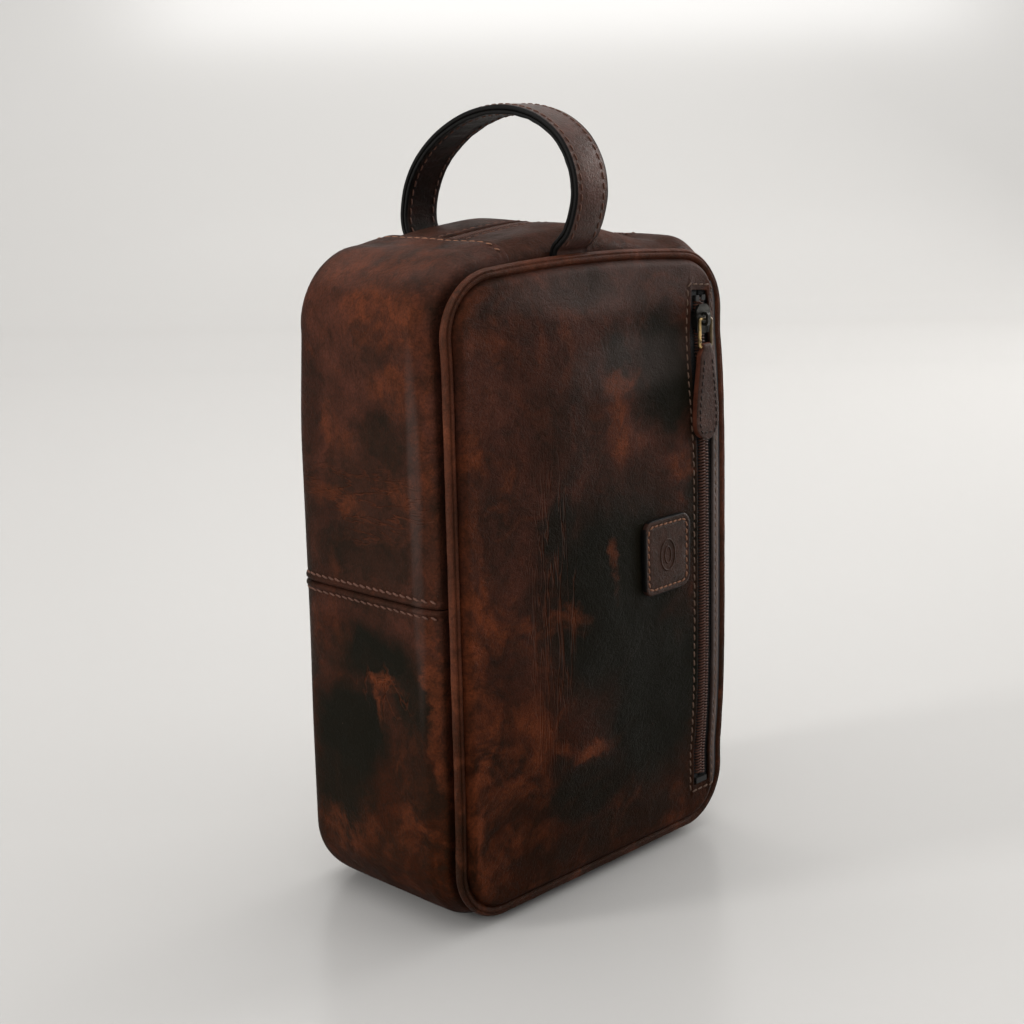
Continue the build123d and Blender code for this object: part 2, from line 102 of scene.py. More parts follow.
def rim(distance):
    """Point and outward direction round the piping's outer line, from the left side's middle upwards."""
    inner_x, inner_z = HALF - CORNER, (HIGH - LOW) / 2 - CORNER
    legs = (
        (STRAIGHT_V / 2, (-HALF, MID), (0, 1), None),
        (ARC, (-inner_x, MID + inner_z), None, 180),
        (STRAIGHT_H, (-inner_x, HIGH), (1, 0), None),
        (ARC, (inner_x, MID + inner_z), None, 90),
        (STRAIGHT_V, (HALF, MID + inner_z), (0, -1), None),
        (ARC, (inner_x, MID - inner_z), None, 0),
        (STRAIGHT_H, (inner_x, LOW), (-1, 0), None),
        (ARC, (-inner_x, MID - inner_z), None, -90),
        (STRAIGHT_V / 2, (-HALF, MID - inner_z), (0, 1), None),
    )
    result = []
    for s in np.mod(np.atleast_1d(distance), RIM_LENGTH):
        for length, start, along, first in legs:
            if s <= length:
                break
            s -= length
        if along:
            normal = (-along[1], along[0])
            point = (start[0] + along[0] * s, start[1] + along[1] * s)
        else:
            angle = math.radians(first) - s / CORNER
            normal = (math.cos(angle), math.sin(angle))
            point = (start[0] + CORNER * normal[0], start[1] + CORNER * normal[1])
        result.append((*point, *normal))
    return np.array(result)


def inset(x, z):
    """How far a point of the front lies inside the piping's outer line."""
    qx, qz = np.abs(x) - (HALF - CORNER), np.abs(z - MID) - ((HIGH - LOW) / 2 - CORNER)
    outside = np.hypot(np.maximum(qx, 0), np.maximum(qz, 0))
    return CORNER - outside - np.minimum(np.maximum(qx, qz), 0)


def bow(z):
    """1 over most of the height, easing to 0 where the pocket zip ends."""
    return 1 - np.clip(np.abs(z - MID) / 91, 0, 1) ** 4


def soften(points):
    """The slack of the leather: bowed top and pocket side, rear leaning in, nothing under the floor."""
    points = np.array(points, float)
    x, y, z = points[..., 0].copy(), points[..., 1].copy(), points[..., 2].copy()
    pocket_side = bow(z) * smooth(x, 22, 58) * smooth(-y, 8, 32)
    points[..., 0] += 1.6 * pocket_side
    points[..., 1] -= 1.2 * pocket_side
    full = smooth(z, 0, 60) * (1 - smooth(z, 215, 245))
    points[..., 1] -= 1.2 * smooth(-x, -30, 40) * smooth(-y, 16, 34) * full
    lean = 3.8 * smooth(z, 182, 246) * smooth(-x, -20, 66) - 1.0 * (1 - smooth(z, 60, 120))
    points[..., 1] -= lean * smooth(y, 10, 38)
    lift = ARCH * (1 - np.clip(x / HALF, -1, 1) ** 2) * smooth(z, 120, HIGH)
    points[..., 2] = np.maximum(z + lift, 0)
    return points


def waves(points, seed, size, height):
    """Gentle noise heights at some points."""
    flat = np.asarray(points).reshape(-1, 3)
    heights = [noise.noise(Vector(p) / size + Vector((seed, 0, 0))) for p in flat]
    return height * np.array(heights).reshape(np.asarray(points).shape[:-1])


REAR_Y = SEAM_Y + 2.2  # the rear shoulder swells out over its piping
FRONT_Y = SEAM_Y - 2.3  # the front shoulder turns in here, leaving a dark groove beside its piping


def crown(x, out_x, out_z, y):
    """Height of the gusset outside the piping line, for a place, its outward direction and y across."""
    top = 4.2 + 4.4 * bump(x, -4, 43) + 1.6 * bump(x, 12, 14) - 1.6 * smooth(x, 28, 50)
    middle = 3.0 * out_x**2 + np.where(out_z > 0, top, 3.0) * out_z**2
    corner = np.clip(2 * np.abs(out_x) * out_z, 0, 1) ** 0.75  # the two upper corners are plump
    middle = middle + np.where(out_x > 0, 6.2, 2.4) * corner
    front_fall = 3.0 * np.clip((-y - 28.5) / 9, 0, 2) ** 1.15 + np.abs(y / SEAM_Y) ** 4
    front_fall = front_fall + (middle - 3.0) * np.abs(y / SEAM_Y) ** 8
    rear_fall = (middle + 2.2) * np.abs(y / REAR_Y) ** 14
    return middle - np.where(y < 0, front_fall, rear_fall)


S_SEAM = BAND_SEAM_Z - MID
S_TOP_END = STRAIGHT_V / 2 + ARC + (BAND_END_X + HALF - CORNER)
S_RIGHT_TOP = STRAIGHT_V / 2 + 2 * ARC + STRAIGHT_H
S_LOW_END = S_RIGHT_TOP + (HIGH - CORNER - BAND_END_Z)


SEAM_STITCH = 3.1  # the rows beside the band's seam are this far from it


def relief(s):
    """The seam across the band: two puffed folds with a thin line between and stitches sunk outside them."""
    d = np.asarray(s, float) - S_SEAM
    folds = 0.85 * bump(np.abs(d), 1.55, 1.05)
    return folds - 0.7 * bump(d, 0, 0.35) - 0.35 * bump(np.abs(d), SEAM_STITCH, 0.55)


def shell(s, y, height):
    """Points of the gusset at distances s round it and y across it; height is measured from its crown."""
    s, y, height = np.broadcast_arrays(np.atleast_1d(s), y, height)
    at = rim(s.ravel()).reshape(*s.shape, 4)
    h = crown(at[..., 0], at[..., 2], at[..., 3], y) + height
    points = np.stack([at[..., 0], y, at[..., 1]], -1)
    normal = np.stack([at[..., 2], np.zeros_like(h), at[..., 3]], -1)
    middle = 1 - smooth(np.abs(y), 27, 36)
    dents = waves(points, 3, 55, 1.1) + waves(points, 8, 21, 0.45) * middle
    dents = dents * (1 - smooth(-at[..., 3], 0.5, 1)) * (1 - smooth(np.abs(y), 31, SEAM_Y))
    slider_run = smooth(at[..., 2], 0, 0.6) * (1 - smooth(np.abs(y), 9, 20))
    dents = dents * (1 - slider_run)  # no dents where the main slider has to pass
    return soften(points + normal * (h + dents)[..., None])


# ---- meshes ----------------------------------------------------------------------------------
def mesh_object(name, points, faces, outward=True):
    """An object made of points in millimetres."""
    mesh = bpy.data.meshes.new(name)
    mesh.from_pydata((np.asarray(points, float).reshape(-1, 3) * MM).tolist(), [], faces)
    shape = bmesh.new()
    shape.from_mesh(mesh)
    bmesh.ops.remove_doubles(shape, verts=shape.verts, dist=1e-6)
    if outward:
        bmesh.ops.recalc_face_normals(shape, faces=shape.faces)
    shape.to_mesh(mesh)
    shape.free()
    mesh.shade_smooth()
    made = bpy.data.objects.new(name, mesh)
    bpy.context.scene.collection.objects.link(made)
    return made


def corner_arcs(x0, x1, z0, z1, radius, count=5):
    """The four corners of a rounded rectangle as rows of points, clockwise from the upper right one."""
    starts = [(x1 - radius, z1 - radius, 90), (x1 - radius, z0 + radius, 0)]
    starts += [(x0 + radius, z0 + radius, -90), (x0 + radius, z1 - radius, -180)]
    arcs = []
    for cx, cz, first in starts:
        angles = np.radians(np.linspace(first, first - 90, count))
        arcs.append([(cx + radius * math.cos(a), cz + radius * math.sin(a)) for a in angles])
    return arcs


def rounded_path(x0, x1, z0, z1, radius, step=1.0):
    """A closed rounded rectangle in a flat plane, with points about a step apart on its sides."""
    path = sum(corner_arcs(x0, x1, z0, z1, radius, 7), [])
    path.append(path[0])
    dense = []
    for a, b in zip(path, path[1:]):
        count = max(1, int(math.dist(a, b) / step))
        dense += [(a[0] + (b[0] - a[0]) * t / count, a[1] + (b[1] - a[1]) * t / count) for t in range(count)]
    return np.array(dense + [path[0]])


def paint_edges(piece, material, is_edge):
    """Gives the faces whose centre (millimetres) is_edge accepts the second material."""
    piece.data.materials.append(material)
    for face in piece.data.polygons:
        if is_edge(np.array(face.center) / MM):
            face.material_index = 1


def strip_faces(rows, columns, wrap_rows=False, wrap_columns=False):
    """Quads of a grid of rows x columns points."""
    faces = []
    for r in range(rows if wrap_rows else rows - 1):
        for c in range(columns if wrap_columns else columns - 1):
            r2, c2 = (r + 1) % rows, (c + 1) % columns
            faces.append((r * columns + c, r * columns + c2, r2 * columns + c2, r2 * columns + c))
    return faces


def tube_faces(rows, columns, closed=False, base=0):
    """Faces of a tube of rings whose first point is number base; an open tube gets end caps."""
    faces = strip_faces(rows, columns, closed, True)
    if not closed:
        faces.append(range(columns))
        faces.append([(rows - 1) * columns + c for c in reversed(range(columns))])
    return [tuple(base + c for c in face) for face in faces]


def tube_object(name, rings, closed=False):
    """A body swept through rings of points."""
    rings = np.asarray(rings, float)
    return mesh_object(name, rings, tube_faces(*rings.shape[:2], closed))


def spaced(start, end, step, fine=()):
    """Values from start to end about a step apart, with extra ones close round each fine place."""
    values = list(np.linspace(start, end, max(2, int(abs(end - start) / step) + 1)))
    for place in fine:
        near = (0, 0.3, 0.6, 0.9, 1.3, 1.8, 2.4, 3.0, 3.6, 4.3, 5.0)
        values += [place + d for d in near] + [place - d for d in near]
    values = sorted(v for v in values if min(start, end) <= v <= max(start, end))
    return np.array([v for i, v in enumerate(values) if i == 0 or v - values[i - 1] > 0.08])


def dress(piece, material, body, replaces=(), levels=0):
    """Gives a piece its material, the body it rides on and the CAD nodes it stands for."""
    piece.data.materials.clear()
    piece.data.materials.append(material)
    if levels:
        piece.modifiers.new("subdivision", "SUBSURF").levels = levels
        piece.modifiers["subdivision"].render_levels = levels
    if body:
        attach(piece, body)
    if replaces:
        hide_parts(*replaces)
    return piece


STITCH = 4.3


def stitches(
    name,
    path,
    normals,
    material,
    body="bag",
    pitch=STITCH,
    width=0.95,
    tilt=7,
    reach=0.8,
):
    """A row of thread stitches along a path on a surface, each end sunk in its hole.

    normals is one direction for every point of the path, or one for them all; tilt is in degrees."""
    path = np.asarray(path, float)
    normals = np.broadcast_to(np.asarray(normals, float), path.shape)
    steps = np.linalg.norm(np.diff(path, axis=0), axis=1)
    along = np.concatenate([[0], np.cumsum(steps)])
    count = max(1, int(round(along[-1] / pitch)))
    pitch = along[-1] / count
    centres = (np.arange(count) + 0.5) * pitch
    points, faces = [], []
    # one half of a stitch: place along it, thickness and lift, each as a share of the whole
    half = ((0.22, 1, 0.1), (0.4, 0.8, -0.1), (0.5, 0.35, -0.5))
    profile = [(-a, b, c) for a, b, c in reversed(half)] + list(half)
    sides = 8
    turn = math.radians(tilt)

    def read(values, distance):
        return np.array([np.interp(distance, along, values[:, i]) for i in range(3)])

    for centre in centres:
        at, up = read(path, centre), read(normals, centre)
        up /= np.linalg.norm(up)
        run = read(path, centre + 0.4) - read(path, centre - 0.4)
        forward = run - up * np.dot(run, up)
        forward /= np.linalg.norm(forward)
        side = np.cross(up, forward)
        length_way = forward * math.cos(turn) + side * math.sin(turn)
        width_way = side * math.cos(turn) - forward * math.sin(turn)
        faces += tube_faces(len(profile), sides, base=len(points))
        for place, thick, lift in profile:
            for angle in np.arange(sides) * 2 * math.pi / sides:
                across = math.cos(angle) * width / 2 * thick
                out = math.sin(angle) * width * 0.4 * thick + lift * 0.6
                points.append(at + length_way * place * pitch * reach + width_way * across + up * out)
    return dress(mesh_object(name, points, faces), material, body)


# ---- materials -------------------------------------------------------------------------------
def fill(tree, node, inputs):
    """Gives a shader node's inputs a link, where the value is a socket, or else the plain value."""
    for key, value in inputs.items():
        if isinstance(value, bpy.types.NodeSocket):
            tree.links.new(value, node.inputs[key])
        else:
            node.inputs[key].default_value = value


def add(tree, kind, inputs=None, **settings):
    """A shader node with its settings, values and links."""
    made = tree.nodes.new(kind)
    for key, value in settings.items():
        setattr(made, key, value)
    fill(tree, made, inputs or {})
    return made


def vector_node(tree, operation, a, b=(0, 0, 0)):
    made = add(tree, "ShaderNodeVectorMath", {0: a, 1: b}, operation=operation)
    return made.outputs["Value" if operation in ("LENGTH", "DOT_PRODUCT") else "Vector"]


def bumped(tree, height, strength, depth, under=None):
    """A bump of some depth in metres, laid over the one under it."""
    inputs = {"Strength": strength, "Distance": depth, "Height": height}
    if under is not None:
        inputs["Normal"] = under
    return add(tree, "ShaderNodeBump", inputs).outputs[0]


def math_node(tree, operation, a, b=0.0, clamp=False):
    return add(tree, "ShaderNodeMath", {0: a, 1: b}, operation=operation, use_clamp=clamp).outputs[0]


def mix_colour(tree, factor, a, b, blend="MIX"):
    made = add(tree, "ShaderNodeMix", {0: factor, 6: a, 7: b}, data_type="RGBA", blend_type=blend)
    return made.outputs[2]


def ramp(tree, value, low, high, start=0.0, end=1.0):
    inputs = {"Value": value, "From Min": low, "From Max": high, "To Min": start, "To Max": end}
    return add(tree, "ShaderNodeMapRange", inputs, interpolation_type="SMOOTHSTEP").outputs[0]


def noise_node(tree, vector, scale, detail=4.0, rough=0.55, distortion=0.0):
    inputs = {"Vector": vector, "Scale": scale, "Detail": detail, "Roughness": rough}
    inputs["Distortion"] = distortion
    return add(tree, "ShaderNodeTexNoise", inputs).outputs[0]


def start_material(name):
    """An empty material with its shader, its object coordinates and its tree."""
    material = bpy.data.materials.new(name)
    material.use_nodes = True
    tree = material.node_tree
    tree.nodes.clear()
    shader = add(tree, "ShaderNodeBsdfPrincipled")
    add(tree, "ShaderNodeOutputMaterial", {"Surface": shader.outputs[0]})
    coords = add(tree, "ShaderNodeTexCoord").outputs["Object"]
    return material, tree, shader, coords


def blob(tree, vector, centre, radii, strength=1.0):
    """Its strength near a place of the bag, fading to 0 outside the radii. Millimetres."""
    away = vector_node(tree, "SUBTRACT", vector, [c * MM for c in centre])
    away = vector_node(tree, "MULTIPLY", away, [1 / (r * MM) for r in radii])
    return ramp(tree, vector_node(tree, "LENGTH", away), 1.2, 0.5, 0.0, strength)


def together(tree, sockets):
    """The strongest of some values."""
    total = sockets[0]
    for other in sockets[1:]:
        total = math_node(tree, "MAXIMUM", total, other)
    return total


PAINTED_LOW_SHADE = (0.020, 0.0040, 0.0005, 1)  # painted shade: the leather's colour is darkened towards the base
PAINTED_SHEEN = (0.10, 0.078, 0.071, 1)  # painted grey sheen: a highlight mixed into the colour
DUST = (0.2, 0.13, 0.1, 1)  # specks in the pores
BRASS_WEAR_AND_GLINT = (0.6, 0.41, 0.17, 1)  # brass on the pull ring's left leg: worn finish with a painted glint


def leather(
    name,
    colours,
    darks=(),
    rusts=(),
    painted_sheens=(),
    creases=(),
    base_dark=0.5,
    base_rust=0.5,
    rough=(0.4, 0.58),
    shine=0.02,
    fineness=1.0,
):
    """Waxed pull-up leather: cloudy colour, feathery rust where it was pulled, creases, a fine grain, painted
    shade darkening it towards the base and painted grey sheen at given places.

    colours are black, brown, warm and rust. darks and rusts are places with radii and a strength, and so are
    the places of painted grey sheen;
    creases are places with radii and a stretch. base_dark and base_rust hold away from those places,
    rough is the least and the most roughness, and fineness scales the fine wrinkles."""
    black, brown, warm, rust = [(*c, 1) for c in colours]
    material, tree, shader, coords = start_material(name)
    wide = {"Vector": coords, "Scale": 24.0, "Detail": 6.0, "Roughness": 0.65}
    drift = add(tree, "ShaderNodeTexNoise", wide).outputs[1]
    drift = vector_node(tree, "SUBTRACT", drift, (0.5, 0.5, 0.5))
    drift = vector_node(tree, "MULTIPLY", drift, (0.042, 0.042, 0.042))
    drifted = vector_node(tree, "ADD", coords, drift)

    clouds = noise_node(tree, coords, 19.0, 8.0, 0.62, 0.8)
    colour = mix_colour(tree, ramp(tree, clouds, 0.36, 0.66), brown, warm)
    height_up = add(tree, "ShaderNodeSeparateXYZ", {0: coords}).outputs["Z"]
    # painted shade: a darker colour mixed in towards the base of the bag
    colour = mix_colour(tree, ramp(tree, height_up, 0.15, 0.03, 0.0, 0.85), colour, PAINTED_LOW_SHADE)
    shade = noise_node(tree, vector_node(tree, "MULTIPLY", coords, (1.0, 1.0, 0.7)), 23.0, 8.0, 0.62, 1.0)
    shade = ramp(tree, shade, 0.46, 0.64, 0.0, base_dark)
    calm = 1.0
    if darks:
        held = together(tree, [blob(tree, drifted, *d) for d in darks])
        shade = math_node(tree, "MAXIMUM", shade, held)
        calm = math_node(tree, "SUBTRACT", 1.0, held)
    colour = mix_colour(tree, shade, colour, black)

    pulled = noise_node(tree, coords, 32.0, 7.0, 0.6, 2.6)
    rust_amount = math_node(tree, "MULTIPLY", ramp(tree, pulled, 0.5, 0.7, 0.0, base_rust), calm)
    if rusts:
        held = together(tree, [blob(tree, drifted, *r) for r in rusts])
        strong = math_node(tree, "MULTIPLY", held, ramp(tree, pulled, 0.34, 0.64, 0.05, 1.0))
        rust_amount = math_node(tree, "MAXIMUM", rust_amount, strong)
    colour = mix_colour(tree, rust_amount, colour, rust)

    mottle = noise_node(tree, drifted, 150.0, 8.0, 0.75)
    colour = mix_colour(tree, ramp(tree, mottle, 0.4, 0.68, 0.0, 0.5), colour, black)
    pores = noise_node(tree, coords, 950.0, 3.0, 0.7)
    colour = mix_colour(tree, ramp(tree, pores, 0.35, 0.75, 0.0, 0.4), colour, black)
    specks = noise_node(tree, coords, 520.0, 2.0, 0.5)
    colour = mix_colour(tree, ramp(tree, specks, 0.78, 0.84, 0.0, 0.35), colour, DUST)

    cells = {"Vector": coords, "Scale": 1150.0}
    grain = add(tree, "ShaderNodeTexVoronoi", cells, feature="SMOOTH_F1").outputs[0]
    fine = noise_node(tree, vector_node(tree, "MULTIPLY", drifted, (1.0, 1.0, 2.2)), 230.0, 5.0, 0.6, 0.8)
    soft = noise_node(tree, coords, 70.0, 4.0, 0.55)
    normal = bumped(tree, grain, 0.3, 0.0003)
    normal = bumped(tree, fine, 0.6 * fineness, 0.0009, normal)
    normal = bumped(tree, soft, 0.25, 0.002, normal)
    for centre, radii, stretch in creases:
        lines = noise_node(tree, vector_node(tree, "MULTIPLY", coords, stretch), 80.0, 3.0, 0.5, 0.4)
        lines = math_node(tree, "ABSOLUTE", math_node(tree, "SUBTRACT", lines, 0.5))
        cut = math_node(tree, "SUBTRACT", 1.0, ramp(tree, lines, 0.0, 0.035))
        cut = math_node(tree, "MULTIPLY", cut, blob(tree, drifted, centre, radii))
        normal = bumped(tree, math_node(tree, "SUBTRACT", 1.0, cut), 0.6, 0.001, normal)
        colour = mix_colour(tree, math_node(tree, "MULTIPLY", cut, 0.22), colour, rust)
    # painted sheen: a grey highlight mixed into the colour at the given places
    if painted_sheens:
        sheen_mask = together(tree, [blob(tree, coords, *p) for p in painted_sheens])
        sheen_mask = math_node(tree, "MULTIPLY", sheen_mask, ramp(tree, clouds, 0.3, 0.6, 0.45, 1.0))
        colour = mix_colour(tree, sheen_mask, colour, PAINTED_SHEEN)
    polish = ramp(tree, noise_node(tree, coords, 40.0, 5.0), 0.3, 0.7, *rough)
    fill(tree, shader, {"Base Color": colour, "Normal": normal, "Roughness": polish})
    fill(tree, shader, {"Specular IOR Level": shine, "Specular Tint": (1.0, 0.8, 0.62, 1)})
    return material


def plain(name, colour, rough, metallic=0.0, scale=300.0, vary=0.25, shine=0.15):
    """Metal, thread or plastic with a little tarnish and unevenness."""
    material, tree, shader, coords = start_material(name)
    cloud = noise_node(tree, coords, scale, 4.0)
    dark = [c * (1 - vary) for c in colour]
    light = [min(1, c * (1 + vary)) for c in colour]
    mixed = mix_colour(tree, ramp(tree, cloud, 0.3, 0.7), (*dark, 1), (*light, 1))
    polish = ramp(tree, cloud, 0.2, 0.8, rough * 0.8, rough * 1.2)
    fill(tree, shader, {"Base Color": mixed, "Roughness": polish, "Normal": bumped(tree, cloud, 0.4, 0.0001)})
    fill(tree, shader, {"Metallic": metallic, "Specular IOR Level": shine})
    return material


def woven(name, colour, count):
    """Cloth or tape with a plain weave; count is threads per metre."""
    material, tree, shader, coords = start_material(name)
    bands = []
    for axis in (0, 1, 2):
        pick = [0.0, 0.0, 0.0]
        pick[axis] = count * 2 * math.pi
        bands.append(math_node(tree, "SINE", vector_node(tree, "DOT_PRODUCT", coords, pick)))
    front_weave = math_node(tree, "MULTIPLY", bands[0], bands[2])
    side_weave = math_node(tree, "MULTIPLY", bands[1], bands[2])
    weave = math_node(tree, "ADD", front_weave, side_weave)
    dark = [c * 0.6 for c in colour]
    mixed = mix_colour(tree, ramp(tree, weave, -1.0, 1.0), (*dark, 1), (*colour, 1))
    fill(tree, shader, {"Base Color": mixed, "Normal": bumped(tree, weave, 0.6, 0.0002), "Roughness": 0.85})
    return material


BLACK = (0.0042, 0.0044, 0.0028)
BROWN = (0.026, 0.0092, 0.0058)
WARM = (0.056, 0.0185, 0.0115)
RUST = (0.120, 0.029, 0.0105)
WAXED = (BLACK, BROWN, WARM, RUST)


def on_front(*spots):
    """Spots on the front panel, given as x, z, radius along x, radius along z and strength."""
    return [((x, -46, z), (wide, 60, tall), much) for x, z, wide, tall, much in spots]


def on_side(*spots):
    """Spots on the left side, given as y, z, radius along y, radius along z and strength."""
    return [((-83, y, z), (30, wide, tall), much) for y, z, wide, tall, much in spots]


front_leather = leather(
    "front_leather",
    WAXED,
    darks=on_front(
        (5, 124, 56, 50, 0.97), (32, 74, 40, 54, 0.97), (40, 205, 22, 34, 0.95),
        (-10, 243, 22, 10, 0.6), (10, 217, 13, 10, 0.9), (-28, 152, 15, 17, 0.9),
        (-8, 44, 36, 18, 0.85), (10, 20, 70, 10, 0.5), (-20, 190, 30, 30, 0.45),
        (62, 130, 14, 110, 0.8),
    ),
    rusts=on_front(
        (12, 206, 13, 7, 0.7), (10, 186, 8, 18, 0.75), (50, 166, 10, 8, 0.6),
        (-48, 66, 20, 24, 0.6), (-12, 62, 22, 5, 0.7), (-34, 116, 20, 5, 0.7),
        (-58, 122, 7, 12, 0.8), (-60, 236, 26, 14, 0.4), (-55, 30, 26, 9, 0.5),
        (-71, 110, 10, 110, 0.85), (6, 132, 4, 14, 0.5),
    ),
    # painted sheen: grey highlights across the top of the front and a pale strip right of the pocket zip
    painted_sheens=on_front(
        (14, 244, 72, 12, 0.3), (20, 212, 40, 14, 0.2), (73, 125, 6, 120, 0.85),
    ),
    creases=(((-32, -46, 118), (14, 60, 66), (3.2, 1.0, 0.28)),),
    base_dark=0.4,
    base_rust=0.35,
)
band_leather = leather(
    "band_leather",
    WAXED,
    darks=on_side(
        (-12, 190, 24, 12, 0.7), (-4, 147, 34, 9, 0.6), (-4, 108, 30, 17, 0.95),
        (14, 74, 24, 26, 0.95), (20, 45, 22, 26, 0.85), (-6, 162, 28, 46, 0.5),
        (-26, 60, 12, 14, 0.5), (-22, 94, 16, 26, 0.85), (36, 120, 7, 60, 0.6),
    ),
    rusts=[((-80, -14, 236), (30, 24, 14), 0.6), ((-62, 0, 254), (26, 40, 24), 0.45)]
    + on_side(
        (-20, 209, 16, 8, 0.5), (15, 194, 7, 14, 0.5), (16, 163, 20, 6, 0.5),
        (-18, 173, 20, 6, 0.4), (-8, 95, 11, 6, 0.7), (-2, 84, 3, 12, 0.7),
        (-24, 45, 15, 12, 0.4), (12, 32, 26, 12, 0.45), (-35, 130, 4, 120, 0.5),
    ),
    # painted sheen: a grey highlight on the top and a soft highlight line along the front shoulder
    painted_sheens=[((-60, 0, 256), (40, 60, 12), 0.12)]
    + on_side((-28.8, 180, 3.4, 50, 0.16), (-28.8, 140, 3.0, 60, 0.1)),
    creases=(
        ((-83, 0, 166), (30, 36, 15), (1.0, 0.45, 2.8)),
        ((-83, -8, 92), (30, 18, 14), (1.0, 1.2, 1.2)),
    ),
    base_dark=0.4,
    base_rust=0.25,
)
top_leather = leather(
    "top_leather", (BLACK, BROWN, (0.052, 0.02, 0.013), (0.08, 0.026, 0.014)), base_dark=0.4, base_rust=0.3
)
back_leather = leather("back_leather", WAXED, base_dark=0.9, base_rust=0.5)
piping_leather = leather(
    "piping_leather",
    (BLACK, (0.056, 0.0165, 0.0085), (0.088, 0.026, 0.0135), (0.135, 0.038, 0.016)),
    base_dark=0.35,
    base_rust=0.45,
    shine=0.05,
)
handle_leather = leather(
    "handle_leather",
    (BLACK, (0.036, 0.013, 0.010), (0.062, 0.024, 0.018), (0.10, 0.038, 0.026)),
    rough=(0.36, 0.5),
    base_dark=0.35,
    base_rust=0.25,
    shine=0.16,
    fineness=0.45,
)
handle_inner_leather = leather(
    "handle_inner_leather",
    (BLACK, (0.009, 0.0055, 0.005), (0.022, 0.010, 0.008), (0.05, 0.02, 0.014)),
    base_dark=0.5,
    base_rust=0.25,
)
tab_leather = leather(
    "tab_leather",
    (BLACK, (0.036, 0.018, 0.015), (0.060, 0.032, 0.026), (0.085, 0.040, 0.028)),
    base_dark=0.3,
    base_rust=0.2,
    shine=0.1,
    fineness=0.5,
)
patch_leather = leather(
    "patch_leather",
    (BLACK, (0.026, 0.0125, 0.0095), (0.04, 0.019, 0.014), (0.06, 0.026, 0.017)),
    base_dark=0.3,
    base_rust=0.2,
    shine=0.06,
    fineness=0.6,
)
tab_edge = plain("tab_edge", (0.085, 0.026, 0.014), 0.5, scale=300.0)
dark_thread = plain("dark_thread", (0.014, 0.009, 0.007), 0.75, scale=900.0)
edge_paint = plain("edge_paint", (0.0045, 0.004, 0.0036), 0.5, scale=400.0, shine=0.05)
thread = plain("thread", (0.078, 0.036, 0.024), 0.75, scale=900.0)
pale_thread = plain("pale_thread", (0.15, 0.07, 0.04), 0.75, scale=900.0)
zip_thread = plain("zip_thread", (0.085, 0.052, 0.036), 0.75, scale=900.0)
coil_plastic = plain("coil_plastic", (0.05, 0.021, 0.0135), 0.4, scale=500.0, shine=0.08)
dark_metal = plain("dark_metal", (0.04, 0.038, 0.033), 0.34, 0.85, scale=260.0, vary=0.4, shine=0.4)
black_stop = plain("black_stop", (0.012, 0.011, 0.010), 0.45, scale=300.0)
ring_metal = plain("ring_metal", (0.11, 0.08, 0.045), 0.32, 0.95, scale=240.0, shine=0.4)
ring_tree = ring_metal.node_tree
ring_coords = add(ring_tree, "ShaderNodeTexCoord").outputs["Object"]
ring_shader = next(n for n in ring_tree.nodes if n.type == "BSDF_PRINCIPLED")
dull = ring_shader.inputs["Base Color"].links[0].from_socket
patchy = ramp(ring_tree, noise_node(ring_tree, ring_coords, 600.0), 0.3, 0.5)
# painted glint and wear: brass mixed onto the ring's left leg only, where its bright glint shows
wear_and_glint = blob(ring_tree, ring_coords, (ZIP_X - 3.1, -49, 219), (2, 9, 8))
wear_and_glint = math_node(ring_tree, "MULTIPLY", wear_and_glint, patchy)
fill(ring_tree, ring_shader, {"Base Color": mix_colour(ring_tree, wear_and_glint, dull, BRASS_WEAR_AND_GLINT)})
tape_cloth = woven("tape_cloth", (0.006, 0.0055, 0.0055), 1100.0)
lining_cloth = woven("lining_cloth", (0.03, 0.024, 0.02), 900.0)
cord_cotton = woven("cord_cotton", (0.4, 0.36, 0.3), 700.0)

# ---- CAD nodes that stay in view -------------------------------------------------------------
for material, kept_nodes in (
    (black_stop, ("main_zip_end_stops", "pocket_zip_top_stops", "pocket_zip_bottom_stop")),
    (lining_cloth, ("pocket_bag", "inner_slip_pocket")),
    (dark_metal, ("pocket_slider", "main_slider")),
    (ring_metal, ("pocket_pull_ring", "main_pull_ring")),
):
    for node in kept_nodes:
        nodes[node].data.materials.clear()
        nodes[node].data.materials.append(material)

# ---- big panels ------------------------------------------------------------------------------
PANEL_EDGE = (4.5, 6.9)  # front and back: how far inside the piping line a panel's edge lies
ROLL = 3.2
BULGE = 3.6
STITCH_IN = 2.4  # the zip's stitches lie this far outside the slot


def panel_depth(x, z, front):
    """Distance of a panel's outer surface from the bag's middle."""
    t = np.clip((inset(x, z) - PANEL_EDGE[0 if front else 1]) / ROLL, 0, 1)
    depth = PANEL_Y - 4.2 + 3.8 * np.sqrt(1 - (1 - t) ** 2)
    wide = np.cos(np.clip((x + 10) / 72 if front else x / 72, -1, 1) * math.pi / 2) ** 2
    tall = np.cos(np.clip((z - MID) / 120, -1, 1) * math.pi / 2) ** 1.2
    depth = depth + BULGE * wide * tall
    points = np.stack([x, np.full_like(x, 0.0 if front else 90.0), z], -1)
    slack = smooth(inset(x, z), 8, 24)
    if front:
        slack = slack * (1 - smooth(x, 46, 56))
        depth = depth - 1.3 * smooth(x, ZIP_X + SLOT, HALF - 4)
        edge = np.abs(x - ZIP_X)
        in_run = smooth(z, ZIP_BOTTOM - 6, ZIP_BOTTOM - 3) * (1 - smooth(z, ZIP_TOP + 3, ZIP_TOP + 6))
        depth = depth + (0.3 * bump(edge, SLOT + 0.9, 1.2) - 0.3 * bump(edge, SLOT + STITCH_IN, 0.7)) * in_run
    return depth + slack * (waves(points, 5, 48, 0.9) + waves(points, 9, 19, 0.35))


